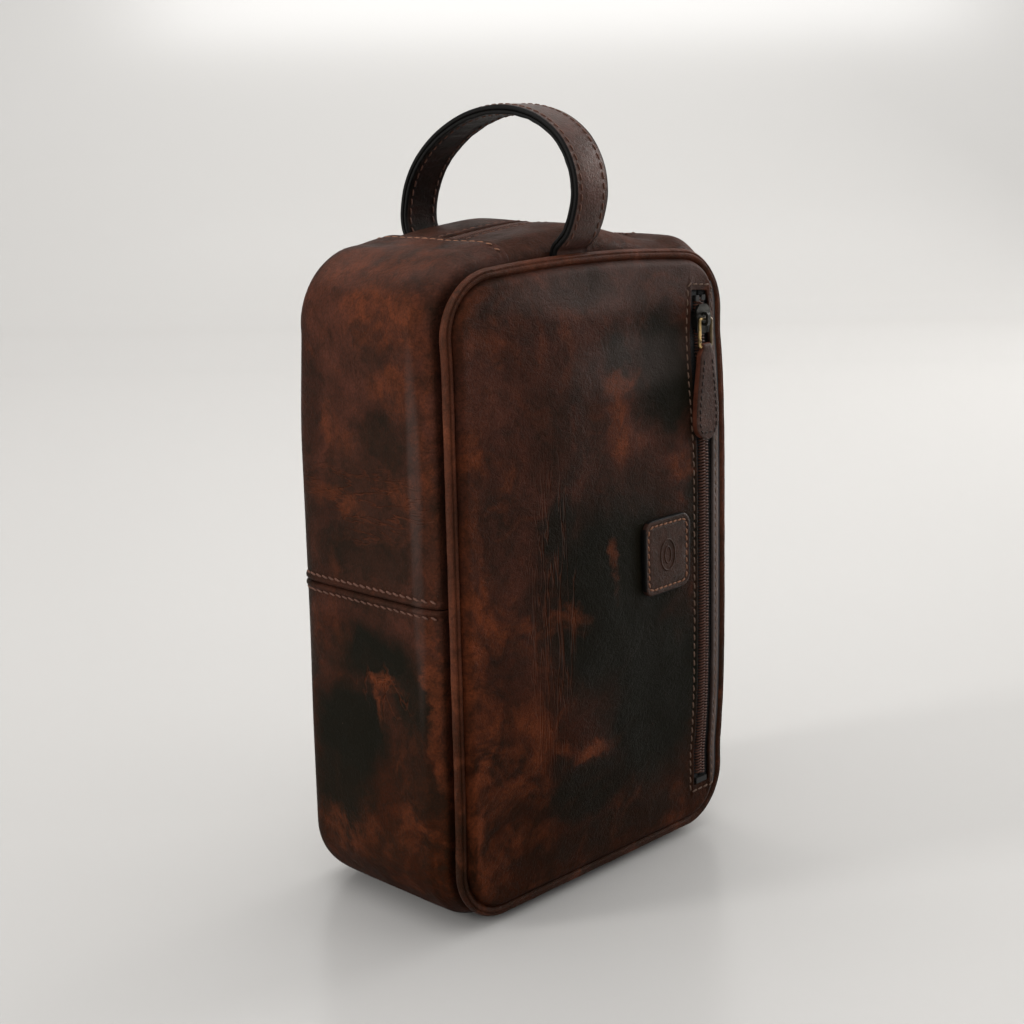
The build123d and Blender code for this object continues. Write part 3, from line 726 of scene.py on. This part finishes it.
def panel_points(x, z, front, lift=0.0):
    """Points on a panel, lift outside its surface."""
    x, z = np.broadcast_arrays(np.asarray(x, float), np.asarray(z, float))
    side = -1 if front else 1
    depth = panel_depth(x, z, front) + lift
    if front:
        x = x - 2.4 * bump(z, 206, 26) * bump(x, ZIP_X - SLOT - 1, 5.5)
    return soften(np.stack([x, side * depth, z], -1))


def make_panel(name, front):
    """A crowned leather panel that rolls down into the groove beside the piping."""
    near = [0, 0.12, 0.4, 0.8, 1.4, 2.2, 3.2, 4.5, 6.2]
    edge = PANEL_EDGE[0 if front else 1]
    half_x, half_z, radius = HALF - edge, (HIGH - LOW) / 2 - edge, CORNER - edge
    close = (0, 0.35, 1.0, 1.7, 2.3, 2.9, 3.5)
    x_fine = [ZIP_X + e * (SLOT + d) for e in (-1, 1) for d in close] if front else []
    z_fine = [ZIP_BOTTOM - MID - d for d in close] + [ZIP_TOP - MID + d for d in close] if front else []

    def lines(half, fine):
        values = [half - d for d in near] + [d - half for d in near] + list(fine)
        for v in np.linspace(6.2 - half, half - 6.2, int(2 * (half - 6.2) / 2.4)):
            if min([abs(v - f) for f in values]) > 0.7:
                values.append(v)
        return np.array(sorted(values))

    xs, zs = lines(half_x, x_fine), lines(half_z, z_fine)
    columns, rows = np.meshgrid(xs, zs)
    beyond = np.clip(np.abs(rows) - (half_z - radius), 0, radius)
    reach = np.sqrt(radius**2 - beyond**2)
    knee = half_x - radius
    over = np.maximum(np.abs(columns) - knee, 0)
    x = np.sign(columns) * (np.minimum(np.abs(columns), knee) + over * reach / radius)
    points = panel_points(x, rows + MID, front)
    faces = []
    for r, c, face in zip(
        np.repeat(np.arange(len(zs) - 1), len(xs) - 1),
        np.tile(np.arange(len(xs) - 1), len(zs) - 1),
        strip_faces(len(zs), len(xs)),
    ):
        mid_x, mid_z = (xs[c] + xs[c + 1]) / 2, (zs[r] + zs[r + 1]) / 2 + MID
        if front and abs(mid_x - ZIP_X) < SLOT and ZIP_BOTTOM < mid_z < ZIP_TOP:
            continue
        faces.append(face if front else face[::-1])
    panel = mesh_object(name, points, faces, outward=False)
    thick = panel.modifiers.new("thickness", "SOLIDIFY")
    thick.thickness = 1.5 * MM
    thick.offset = -1
    return panel


front = make_panel("leather_front_panel", True)
dress(front, front_leather, "bag", ["front_panel"], levels=1)
back = make_panel("leather_back_panel", False)
dress(back, back_leather, "bag", ["back_panel"], levels=1)


def make_piping(name, side, sunk, node):
    """The leather piping: a round bead with a fold line, and the flange that is sewn into the seam."""
    rings = []
    for x, z, nx, nz in rim(np.arange(0, RIM_LENGTH, 2.0)):
        wobble = 0.12 * noise.noise(Vector((x / 9, side * 5, z / 9)))
        ring = [(-11.0 - sunk, -1.0), (-5.2 - sunk, -0.9)]
        for angle in np.linspace(-2.75, 2.75, 56):
            r = PIPING_R - 0.3 + wobble - 0.6 * bump(angle, 1.2, 0.13) + 0.15 * bump(angle, 0.9, 0.2)
            ring.append((r * math.cos(angle) - PIPING_R - sunk, r * math.sin(angle)))
        ring += [(-5.2 - sunk, 0.9), (-11.0 - sunk, 1.0)]
        rings.append([(x + nx * h, side * (PIPING_Y + across), z + nz * h) for h, across in ring])
    piping = tube_object(name, soften(rings), closed=True)
    return dress(piping, piping_leather, "bag", [node])


def make_cord(name, side, sunk, node):
    """The cord inside the bead."""
    rings = []
    for x, z, nx, nz in rim(np.arange(0, RIM_LENGTH, 4.0)):
        ring = []
        for angle in np.linspace(0, 2 * math.pi, 12, endpoint=False):
            h = CORD_R * math.cos(angle) - PIPING_R - sunk
            ring.append((x + nx * h, side * (PIPING_Y + CORD_R * math.sin(angle)), z + nz * h))
        rings.append(ring)
    return dress(tube_object(name, soften(rings), closed=True), cord_cotton, "bag", [node])


def make_lining(name, side, node):
    """The cloth sheet behind a big panel."""
    rings = []
    for y in (SEAM_Y - 2.2, SEAM_Y - 1.6):
        ring = rounded_path(11 - HALF, HALF - 11, LOW + 11, HIGH - 11, CORNER - 11, 4)[:-1]
        rings.append([(x, side * y, z) for x, z in ring])
    return dress(tube_object(name, soften(rings)), lining_cloth, "bag", [node])


make_lining("front_cloth", -1, "front_lining")
make_lining("back_cloth", 1, "back_lining")

CORD_R = 1.3
REAR_SUNK = 2.4  # the back piping is drawn this far into its seam
make_piping("leather_front_piping", -1, 0, "front_piping")
make_piping("leather_back_piping", 1, REAR_SUNK, "back_piping")
make_cord("front_cord", -1, 0, "front_piping_cord")
make_cord("back_cord", 1, REAR_SUNK, "back_piping_cord")

# ---- gusset ----------------------------------------------------------------------------------
THICK = 1.9


def gusset_piece(name, s_values, section, heights, material, node):
    """A length of gusset: its section (y across and drop under the crown) swept round the bag."""
    ys, drops = np.array(section, float).T
    rings = [shell(np.full(len(ys), s), ys, drops + height) for s, height in zip(s_values, heights)]
    piece = tube_object(name, rings)
    return dress(piece, material, "bag", [node], levels=1)


front_edge = [
    (-SEAM_Y - 0.15, -5.4),
    (-FRONT_Y - 0.2, -5.2),
    (-FRONT_Y - 0.05, -3.2),
    (-FRONT_Y + 0.1, -1.4),
    (-FRONT_Y + 0.5, -0.45),
    (-FRONT_Y + 1.2, -0.05),
] + [(-y, 0) for y in (35.0, 33.4, 31.8, 30.4, 29.2, 28.0, 26, 22, 17, 13)]
rear_edge = [(y, 0) for y in (13, 17, 21, 25, 28.5, 31.5, 34, 36, 37.6, 39, 40, 40.8, 41.4)]
rear_edge += [(REAR_Y, 0), (REAR_Y - 0.2, -1.0), (REAR_Y - 2, -2.2)]
front_under = [(-28, -THICK), (-32, -THICK), (-34.2, -3.0), (-34.9, -5.6), (-SEAM_Y - 0.1, -7.2)]
rear_under = [(37, -2.6), (34, -THICK), (28, -THICK)]
band_section = front_edge + [(y, 0) for y in (-9, -4.5, 0, 4.5, 9)] + rear_edge
band_section += rear_under + [(y, -THICK) for y in (20, 10, 0, -10, -20)] + front_under


LAP_STITCH = 3.2  # the row that holds the band's end is this far from its edge


def lap(distance):
    """Height of the band near its end over the zip panels: a slow rise, a rounded edge, a sunk row."""
    rise = 1.5 * (1 - smooth(distance, 4, 32))
    return rise - 1.3 * (1 - smooth(distance, 0, 0.9)) - 0.4 * bump(distance, LAP_STITCH, 0.8)


upper_s = spaced(S_SEAM, S_TOP_END, 2.2, (S_SEAM, S_TOP_END))
upper_heights = relief(upper_s) + lap(S_TOP_END - upper_s)
gusset_piece("leather_band_upper", upper_s, band_section, upper_heights, band_leather, "band_upper")
lower_start = S_LOW_END - RIM_LENGTH
lower_s = spaced(lower_start, S_SEAM, 2.2, (S_SEAM, lower_start))
lower_heights = relief(lower_s) + lap(lower_s - lower_start)
gusset_piece("leather_band_lower", lower_s, band_section, lower_heights, band_leather, "band_lower")

lining_section = [(y, -2.2) for y in (-31, -20, -10, 0, 10, 20, 30, 34)]
lining_section += [(y, -2.7) for y in (34, 30, 20, 10, 0, -10, -20, -31)]
lining_s = np.concatenate([lower_s, upper_s[1:]])
flat = np.zeros(len(lining_s))
lining = gusset_piece("band_cloth", lining_s, lining_section, flat, lining_cloth, "band_lining")

FOLD_STITCH = 7.9  # the rows beside the main zip are this far from its middle
fold = [(10, 0), (8.5, -0.2), (FOLD_STITCH, -0.35), (7.2, -0.1), (6.3, 0), (5.6, -0.15), (SLOT + 0.1, -0.6)]
fold += [(SLOT, -1.1), (SLOT + 0.2, -1.6), (6, -1.9), (9, -THICK), (20, -THICK)]
zip_s = spaced(S_TOP_END - 5, S_LOW_END + 5, 2.4)
level = np.zeros(len(zip_s))
front_section = front_edge + [(-y, drop) for y, drop in fold] + front_under
rear_section = rear_edge + rear_under + list(reversed(fold))
gusset_piece("leather_zip_panel_front", zip_s, front_section, level, top_leather, "zip_panel_front")
gusset_piece("leather_zip_panel_back", zip_s, rear_section, level, top_leather, "zip_panel_back")

# ---- zips ------------------------------------------------------------------------------------
COIL_PITCH = 1.3


def coil_teeth(name, place, length, body, nodes_replaced):
    """A closed coil chain: each turn a loop from its tape to just past the middle, the two sides meshed.

    place(along, across, up) gives points; along runs from 0 to length."""
    section = [(math.cos(a), math.sin(a)) for a in np.linspace(0, 2 * math.pi, 6, endpoint=False)]
    # one turn from its tape to the middle: distance from the middle, height and thickness
    stations = [(2.9, 0.2, 0.8), (2.6, 0.9, 1.15), (1.9, 1.3, 1.2)]
    stations += [(0.9, 1.2, 1.0), (-0.1, 1.3, 1.05), (-0.6, 0.7, 0.9)]
    along, across, up, faces = [], [], [], []
    for side in (-1, 1):
        for turn in range(int(length / COIL_PITCH)):
            start = (turn + (0.5 if side > 0 else 0.0)) * COIL_PITCH + 0.4
            faces += tube_faces(len(stations), len(section), base=len(along))
            for i, (reach, height, fat) in enumerate(stations):
                lean = 0.12 * (reach - 1)
                for c, d in section:
                    along.append(start + lean + c * 0.4 * fat)
                    across.append(side * reach + (0.3 * side * d if i in (0, 5) else 0))
                    up.append(height + d * 0.42 * fat)
    points = place(np.array(along), np.array(across), np.array(up))
    return dress(mesh_object(name, points, faces), coil_plastic, body, nodes_replaced)


def pocket_place(along, across, up):
    return soften(np.stack([ZIP_X + across, -(TAPE_Y + up), ZIP_TOP - COIL_IN - along], -1))


pocket_coils = ["pocket_zip_coil_left", "pocket_zip_coil_right"]
coil_teeth("pocket_coil_teeth", pocket_place, ZIP_TOP - ZIP_BOTTOM - 2 * COIL_IN, "bag", pocket_coils)

for side, word in ((-1, "left"), (1, "right")):
    rings = []
    for z in spaced(ZIP_BOTTOM - 4, ZIP_TOP + 4, 3.0):
        ring = [(0.6, 0), (4, 0), (8.5, -0.5), (13, -0.9), (13, -1.5), (8.5, -1.1), (4, -0.6), (0.6, -0.6)]
        rings.append([(ZIP_X + side * a, -(TAPE_Y + w), z) for a, w in ring])
    made = tube_object(f"pocket_tape_{word}", soften(rings))
    dress(made, tape_cloth, "bag", [f"pocket_zip_tape_{word}"])

S_CHAIN, S_CHAIN_END = S_TOP_END + 2.5, S_LOW_END - 2.5
TAPE_DROP = -2.0


def main_place(along, across, up):
    return shell(S_CHAIN + along, across, up + TAPE_DROP)


main_coils = ["main_zip_coil_front", "main_zip_coil_back"]
coil_teeth("main_coil_teeth", main_place, S_CHAIN_END - S_CHAIN, "bag", main_coils)
tape_rings = []
for s in spaced(S_TOP_END - 4, S_LOW_END + 4, 2.5):
    ys = np.array([-14, -7, -0.6, 0.6, 7, 14, 14, 7, 0.6, -0.6, -7, -14])
    drops = np.array([TAPE_DROP - 0.5] * 6 + [TAPE_DROP - 1.1] * 6)
    drops[[0, 5, 6, 11]] -= 0.6
    tape_rings.append(shell(np.full(12, s), ys, drops))
tape = tube_object("main_zip_tape", tape_rings)
dress(tape, tape_cloth, "bag", ["main_zip_tape_front", "main_zip_tape_back"])


# ---- stitched rows on the shell --------------------------------------------------------------
OUT_LEFT, OUT_RIGHT, OUT_FRONT, OUT_TOP = (-1, 0, 0), (1, 0, 0), (0, -1, 0), (0, 0, 1)
out = SLOT + STITCH_IN
slot_path = rounded_path(ZIP_X - out, ZIP_X + out, ZIP_BOTTOM - STITCH_IN, ZIP_TOP + STITCH_IN, 1.5)
slot_points = panel_points(slot_path[:, 0], slot_path[:, 1], True, 0.12)
stitches("stitches_pocket_zip", slot_points, OUT_FRONT, zip_thread, pitch=3.8, width=0.8)

row_y = np.linspace(-35.2, 37.5, 60)
for k, offset in enumerate((-SEAM_STITCH, SEAM_STITCH)):
    row = shell(S_SEAM + offset, row_y, relief(S_SEAM + offset) + 0.1)
    name = f"stitches_band_seam_{k}"
    stitches(name, row, OUT_LEFT, thread, pitch=3.7, tilt=-16, reach=1.0)
row = shell(S_TOP_END - LAP_STITCH, row_y, lap(LAP_STITCH))
stitches("stitches_band_top_end", row, OUT_TOP, pale_thread)
row = shell(S_LOW_END + LAP_STITCH, row_y, lap(LAP_STITCH))
stitches("stitches_band_low_end", row, OUT_RIGHT, thread)
run = spaced(S_TOP_END + 1, S_LOW_END - 1, 2.0)
run_at = rim(run)
run_normals = np.stack([run_at[:, 2], np.zeros(len(run)), run_at[:, 3]], -1)
for side, word in ((-1, "front"), (1, "back")):
    row = shell(run, side * FOLD_STITCH, -0.3)
    stitches(f"stitches_zip_panel_{word}", row, run_normals, thread)

# ---- patch -----------------------------------------------------------------------------------
patch_low, patch_high = box_mm("patch")
PATCH_X, PATCH_Z = (patch_low[0] + patch_high[0]) / 2, (patch_low[2] + patch_high[2]) / 2
PATCH_W, PATCH_H = (patch_high[0] - patch_low[0]) / 2, (patch_high[2] - patch_low[2]) / 2  # half its sides
PATCH_STITCH = 2.6


def patch_ring(offset, lift):
    """A ring of the patch's outline, that far inside its edge and that high above the panel."""
    w, h = PATCH_W - offset, PATCH_H - offset
    ring = rounded_path(PATCH_X - w, PATCH_X + w, PATCH_Z - h, PATCH_Z + h, max(5.5 - offset, 0.8), 60)[:-1]
    return panel_points(ring[:, 0], ring[:, 1], True, lift)


# from the hidden underside over the edge and the stitch groove to the middle
patch_levels = [(1.2, -0.3), (0.1, 0), (0, 0.4), (0, 1.5), (0.12, 1.95), (0.45, 2.2), (1.1, 2.25), (1.8, 2.2)]
patch_levels += [(2.3, 1.9), (2.9, 1.9), (3.4, 2.2), (5, 2.3), (8, 2.35), (11, 2.35), (13, 2.35)]
patch = tube_object("leather_patch", [patch_ring(*place) for place in patch_levels])
dress(patch, patch_leather, "bag", ["patch"], levels=1)
mid_x, _, mid_z = np.mean([v.co for v in patch.data.vertices], axis=0) / MM


def on_patch_edge(centre):
    return max(abs(centre[0] - mid_x) - PATCH_W, abs(centre[2] - mid_z) - PATCH_H) > -0.35


paint_edges(patch, edge_paint, on_patch_edge)
w, h = PATCH_W - PATCH_STITCH, PATCH_H - PATCH_STITCH
patch_path = rounded_path(PATCH_X - w, PATCH_X + w, PATCH_Z - h, PATCH_Z + h, 3.2)
patch_points = panel_points(patch_path[:, 0], patch_path[:, 1], True, 2.1)
stitches("stitches_patch", patch_points, OUT_FRONT, pale_thread, pitch=3.1, width=0.8)
for k, (radius_x, radius_z, bead) in enumerate(((4.4, 6.4, 0.5), (1.9, 3.4, 0.45))):
    rings = []
    for a in np.linspace(0, 2 * math.pi, 48, endpoint=False):
        ring = []
        for b in np.linspace(0, 2 * math.pi, 8, endpoint=False):
            x = PATCH_X + (radius_x + bead * math.cos(b)) * math.cos(a)
            z = PATCH_Z + (radius_z + bead * math.cos(b)) * math.sin(a)
            ring.append(panel_points(x, z, True, 2.3 + bead * 0.8 * math.sin(b)))
        rings.append(ring)
    dress(tube_object(f"patch_oval_{k}", rings, closed=True), patch_leather, "bag")

# ---- handle ----------------------------------------------------------------------------------
strap_low, strap_high = box_mm("handle_strap_outer")
HANDLE_X, HANDLE_HALF = (strap_low[0] + strap_high[0]) / 2, (strap_high[0] - strap_low[0]) / 2
PIVOT_Z = strap_low[2]


def through(points, per_leg=14):
    """A smooth line through some points (Catmull-Rom)."""
    points = np.array(points, float)
    points = np.vstack([2 * points[0] - points[1], points, 2 * points[-1] - points[-2]])
    line = []
    for a, b, c, d in zip(points, points[1:], points[2:], points[3:]):
        for t in np.linspace(0, 1, per_leg, endpoint=False):
            bend, twist = 2 * a - 5 * b + 4 * c - d, 3 * b - a - 3 * c + d
            line.append(0.5 * (2 * b + (c - a) * t + bend * t**2 + twist * t**3))
    line.append(points[-2])
    return np.array(line)


# y and height over the pivot of the strap's middle line, from the front seam over the top to the rear seam
LOOP = (
    (-38.5, -7.0), (-38.6, -2.0), (-39.4, 2.4), (-42.2, 5.2), (-45.8, 8.8),
    (-48.8, 15.5), (-50.4, 24.0), (-48.6, 34.0), (-42.6, 43.4), (-33.0, 50.2),
    (-22.0, 53.9), (-10.0, 55.0), (3.0, 53.6), (15.0, 49.8), (27.0, 43.4),
    (37.0, 34.8), (43.4, 25.0), (46.0, 15.0), (45.8, 8.6), (44.0, 4.6),
    (41.2, 2.0), (39.4, -2.0), (39.0, -7.0),
)
loop = through([(y, PIVOT_Z + up) for y, up in LOOP])
loop_along = np.gradient(loop, axis=0)
loop_along /= np.linalg.norm(loop_along, axis=1)[:, None]
loop_out = np.stack([-loop_along[:, 1], loop_along[:, 0]], -1)


def bend_at_feet(piece):
    """Bakes the piece's placement into its points."""
    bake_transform(piece)


STRAP_STITCH = 2.8  # the rows are this far inside the strap's edges


def sway(at):
    """How far the strap wanders sideways at a place of its loop."""
    return 0.25 * noise.noise(Vector((at[0] / 25, at[1] / 25, 4)))


def strap_layer(name, inside, outside, half, material):
    """One layer of the strap: a flat section with rounded edges, swept along the loop."""
    thick = (outside - inside) / 2
    middle = (outside + inside) / 2
    arcs = corner_arcs(-half, half, -thick, thick, min(0.7, thick))
    flat = np.linspace(half * 0.75, -half * 0.75, 9)
    section = arcs[0] + arcs[1] + [(x, -thick) for x in flat]
    section += arcs[2] + arcs[3] + [(-x, thick) for x in flat]
    rings = []
    for at, out in zip(loop, loop_out):
        ring = []
        for x, up in section:
            dome = 0.35 * (1 - (x / half) ** 2) - 0.25 * bump(abs(x), half - STRAP_STITCH, 0.7)
            lift = middle + up + (dome if up > 0 else -0.1 * dome)
            if inside < 0 and up < 0:  # the inner side is creased across
                lift += 0.22 * noise.noise(Vector((x / 16, at[0] / 3.2, at[1] / 3.2)))
            y, z = at + out * lift
            ring.append((HANDLE_X + x + sway(at), y, z))
        rings.append(ring)
    layer = tube_object(name, rings)
    dress(layer, material, None, levels=1)
    paint_edges(layer, edge_paint, lambda c: abs(c[0] - HANDLE_X) > half - 0.75)
    bend_at_feet(layer)
    return layer


outer_layer = strap_layer("handle_outer_leather", 0.05, 1.9, HANDLE_HALF, handle_leather)
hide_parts("handle_strap_outer", "handle_tail_front", "handle_tail_back")
inner_layer = strap_layer("handle_inner_leather", -1.7, -0.05, HANDLE_HALF - 0.15, handle_inner_leather)
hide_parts("handle_strap_inner")

keep = slice(40, len(loop) - 40)  # the rows stop short of the two seams
sways = np.array([sway(at) for at in loop[keep]])
for word, offset, sign in (("outer", 2.05, 1), ("inner", -1.75, -1)):
    for k, x in enumerate((STRAP_STITCH - HANDLE_HALF, HANDLE_HALF - STRAP_STITCH)):
        row = loop[keep] + loop_out[keep] * offset
        path = np.stack([HANDLE_X + x + sways, row[:, 0], row[:, 1]], -1)
        normals = np.insert(loop_out[keep] * sign, 0, 0, axis=1)
        name = f"stitches_handle_{word}_{k}"
        bend_at_feet(stitches(name, path, normals, thread, None, pitch=3.9, width=0.75))


# ---- leather pulls ---------------------------------------------------------------------------
PULL_HALF = 1.55  # half a pull's thickness


def make_pull(word, across_dir, out_dir):
    """A leather pull: folded neck round the ring, widening to a round end, stitched round its edge."""
    across_dir, out_dir = np.array(across_dir, float), np.array(out_dir, float)
    name, node, body = f"{word}_pull_leather", f"{word}_pull_tab", f"{word}_tab"
    low, high = box_mm(node)
    origin = np.array([(low[0] + high[0]) / 2, (low[1] + high[1]) / 2, 0])
    length, top = high[2] - low[2], high[2]
    end_r = 7.3
    neck = [0, 0.25, 0.7, 1.4, 2.4, 3.2, 4.0, 5.0]
    blade = np.linspace(6.5, length - 7.5, 16)
    round_end = length - end_r + end_r * np.sin(np.linspace(0.1, math.pi / 2 - 0.02, 12))

    def at(across, out, down):
        return origin + across_dir * across + out_dir * out + np.array([0, 0, top - down])

    rings, edge = [], []
    for t in np.concatenate([neck, blade, round_end]):
        if t < 5:
            half = 2.7 + 1.7 * float(smooth(t, 2.2, 5))
        else:
            half = 4.4 + (end_r - 4.4) * float(smooth(t, 4, length - 9)) ** 0.8
        if t > length - end_r:
            half = end_r * math.sqrt(max(1 - ((t - length + end_r) / 7.32) ** 2, 0.0004))
        round_top = min(1.0, math.sqrt(max(1 - (1 - t / 1.6) ** 2, 0.02))) if t < 1.6 else 1.0
        h = PULL_HALF * round_top
        ring = sum(corner_arcs(-half, half, -h, h, min(0.7, half * 0.5, h * 0.9)), [])
        ring += [(x, h + 0.12) for x in np.linspace(-half * 0.55, half * 0.55, 5)]
        rings.append([at(a, b, t) for a, b in ring])
        if 6 < t < length - 2.6 and half > 3:
            edge.append((half - 2.0, t))
    pull = tube_object(name, rings)
    dress(pull, tab_leather, body, [node], levels=1)
    middle = origin @ out_dir
    paint_edges(pull, tab_edge, lambda c: abs(c @ out_dir - middle) < 1.0)
    path = [at(-a, PULL_HALF + 0.1, t) for a, t in edge]
    path += [at(a, PULL_HALF + 0.1, t) for a, t in reversed(edge)]
    stitches(name + "_stitches", path, out_dir, dark_thread, body, pitch=2.9, width=0.6)


make_pull("pocket", (1, 0, 0), (0, -1, 0))
make_pull("main", (0, 1, 0), (1, 0, 0))

# ---- floor, light and camera -----------------------------------------------------------------
away = np.array([0.727, 0.687])  # from the camera past the bag
aside = np.array([0.687, -0.727])
profile = [(-9, 0), (-3, 0), (0, 0), (1.5, 0)]
profile += [(1.7 + 1.1 * math.sin(a), 1.1 - 1.1 * math.cos(a)) for a in np.radians(np.linspace(8, 90, 14))]
profile += [(2.8, 5)]
cove = [(*(away * u + aside * v), z) for u, z in profile for v in (-9, 9)]
floor = mesh_object("floor", np.array(cove) / MM, strip_faces(len(profile), 2), outward=False)
floor_material, floor_tree, floor_shader, _ = start_material("floor")
floor_look = {"Base Color": (0.36, 0.35, 0.335, 1), "Roughness": 0.25, "Specular IOR Level": 0.4}
fill(floor_tree, floor_shader, floor_look)
floor.data.materials.append(floor_material)


def soft_light(name, location, size, power, aim=(0, 0, 0.14)):
    """A large soft box aimed at the bag."""
    light = bpy.data.lights.new(name, "AREA")
    light.shape = "RECTANGLE"
    light.size, light.size_y = size
    light.energy = power
    lamp = bpy.data.objects.new(name, light)
    lamp.location = location
    direction = Vector(aim) - Vector(location)
    lamp.rotation_euler = direction.to_track_quat("-Z", "Y").to_euler()
    bpy.context.scene.collection.objects.link(lamp)


soft_light("left_strip", (-1.55, 0.72, 0.62), (0.3, 1.1), 26)
soft_light("front_fill", (1.1, -1.5, 1.1), (1.2, 1.2), 10)
soft_light("window", (1.9, -0.3, 0.72), (1.1, 1.2), 34)
soft_light("top_soft", (-0.6, -0.2, 2.3), (1.5, 1.5), 12)
soft_light("backdrop", (0.9, 0.85, 3.2), (3.0, 1.0), 110, aim=(2.1, 2.0, 0.9))
sky = bpy.data.lights.new("ceiling", "SUN")
sky.energy = 0.7
sky.angle = math.radians(120)
ceiling = bpy.data.objects.new("ceiling", sky)
bpy.context.scene.collection.objects.link(ceiling)
world = bpy.data.worlds.new("studio")
world.use_nodes = True
world.node_tree.nodes["Background"].inputs[0].default_value = (0.97, 0.975, 1.0, 1)
world.node_tree.nodes["Background"].inputs[1].default_value = 0.72
bpy.context.scene.world = world
bpy.context.scene.view_settings.view_transform = "Standard"

camera_data = bpy.data.cameras.new("camera")
camera_data.sensor_width = 36.0
camera_data.lens = 59.53
camera_data.shift_x, camera_data.shift_y = -0.0586, -0.0586
camera = bpy.data.objects.new("camera", camera_data)
bpy.context.scene.collection.objects.link(camera)
YAW, TILT, TWIST = math.radians(-46.61), math.radians(10.84), math.radians(-0.96)
CAMERA_AWAY = 0.7239
target = Vector((0.03252, 0.0, 0.16849))
backward = Vector((math.sin(YAW) * math.cos(TILT), -math.cos(YAW) * math.cos(TILT), math.sin(TILT)))
right = Vector((0, 0, 1)).cross(backward).normalized()
upward = backward.cross(right)
turned_right = right * math.cos(TWIST) + upward * math.sin(TWIST)
turned_up = upward * math.cos(TWIST) - right * math.sin(TWIST)
orientation = Matrix((turned_right, turned_up, backward)).transposed()
camera.matrix_world = Matrix.LocRotScale(target + backward * CAMERA_AWAY, orientation.to_quaternion(), None)
camera_data.clip_start, camera_data.clip_end = 0.01, 50
bpy.context.scene.camera = camera
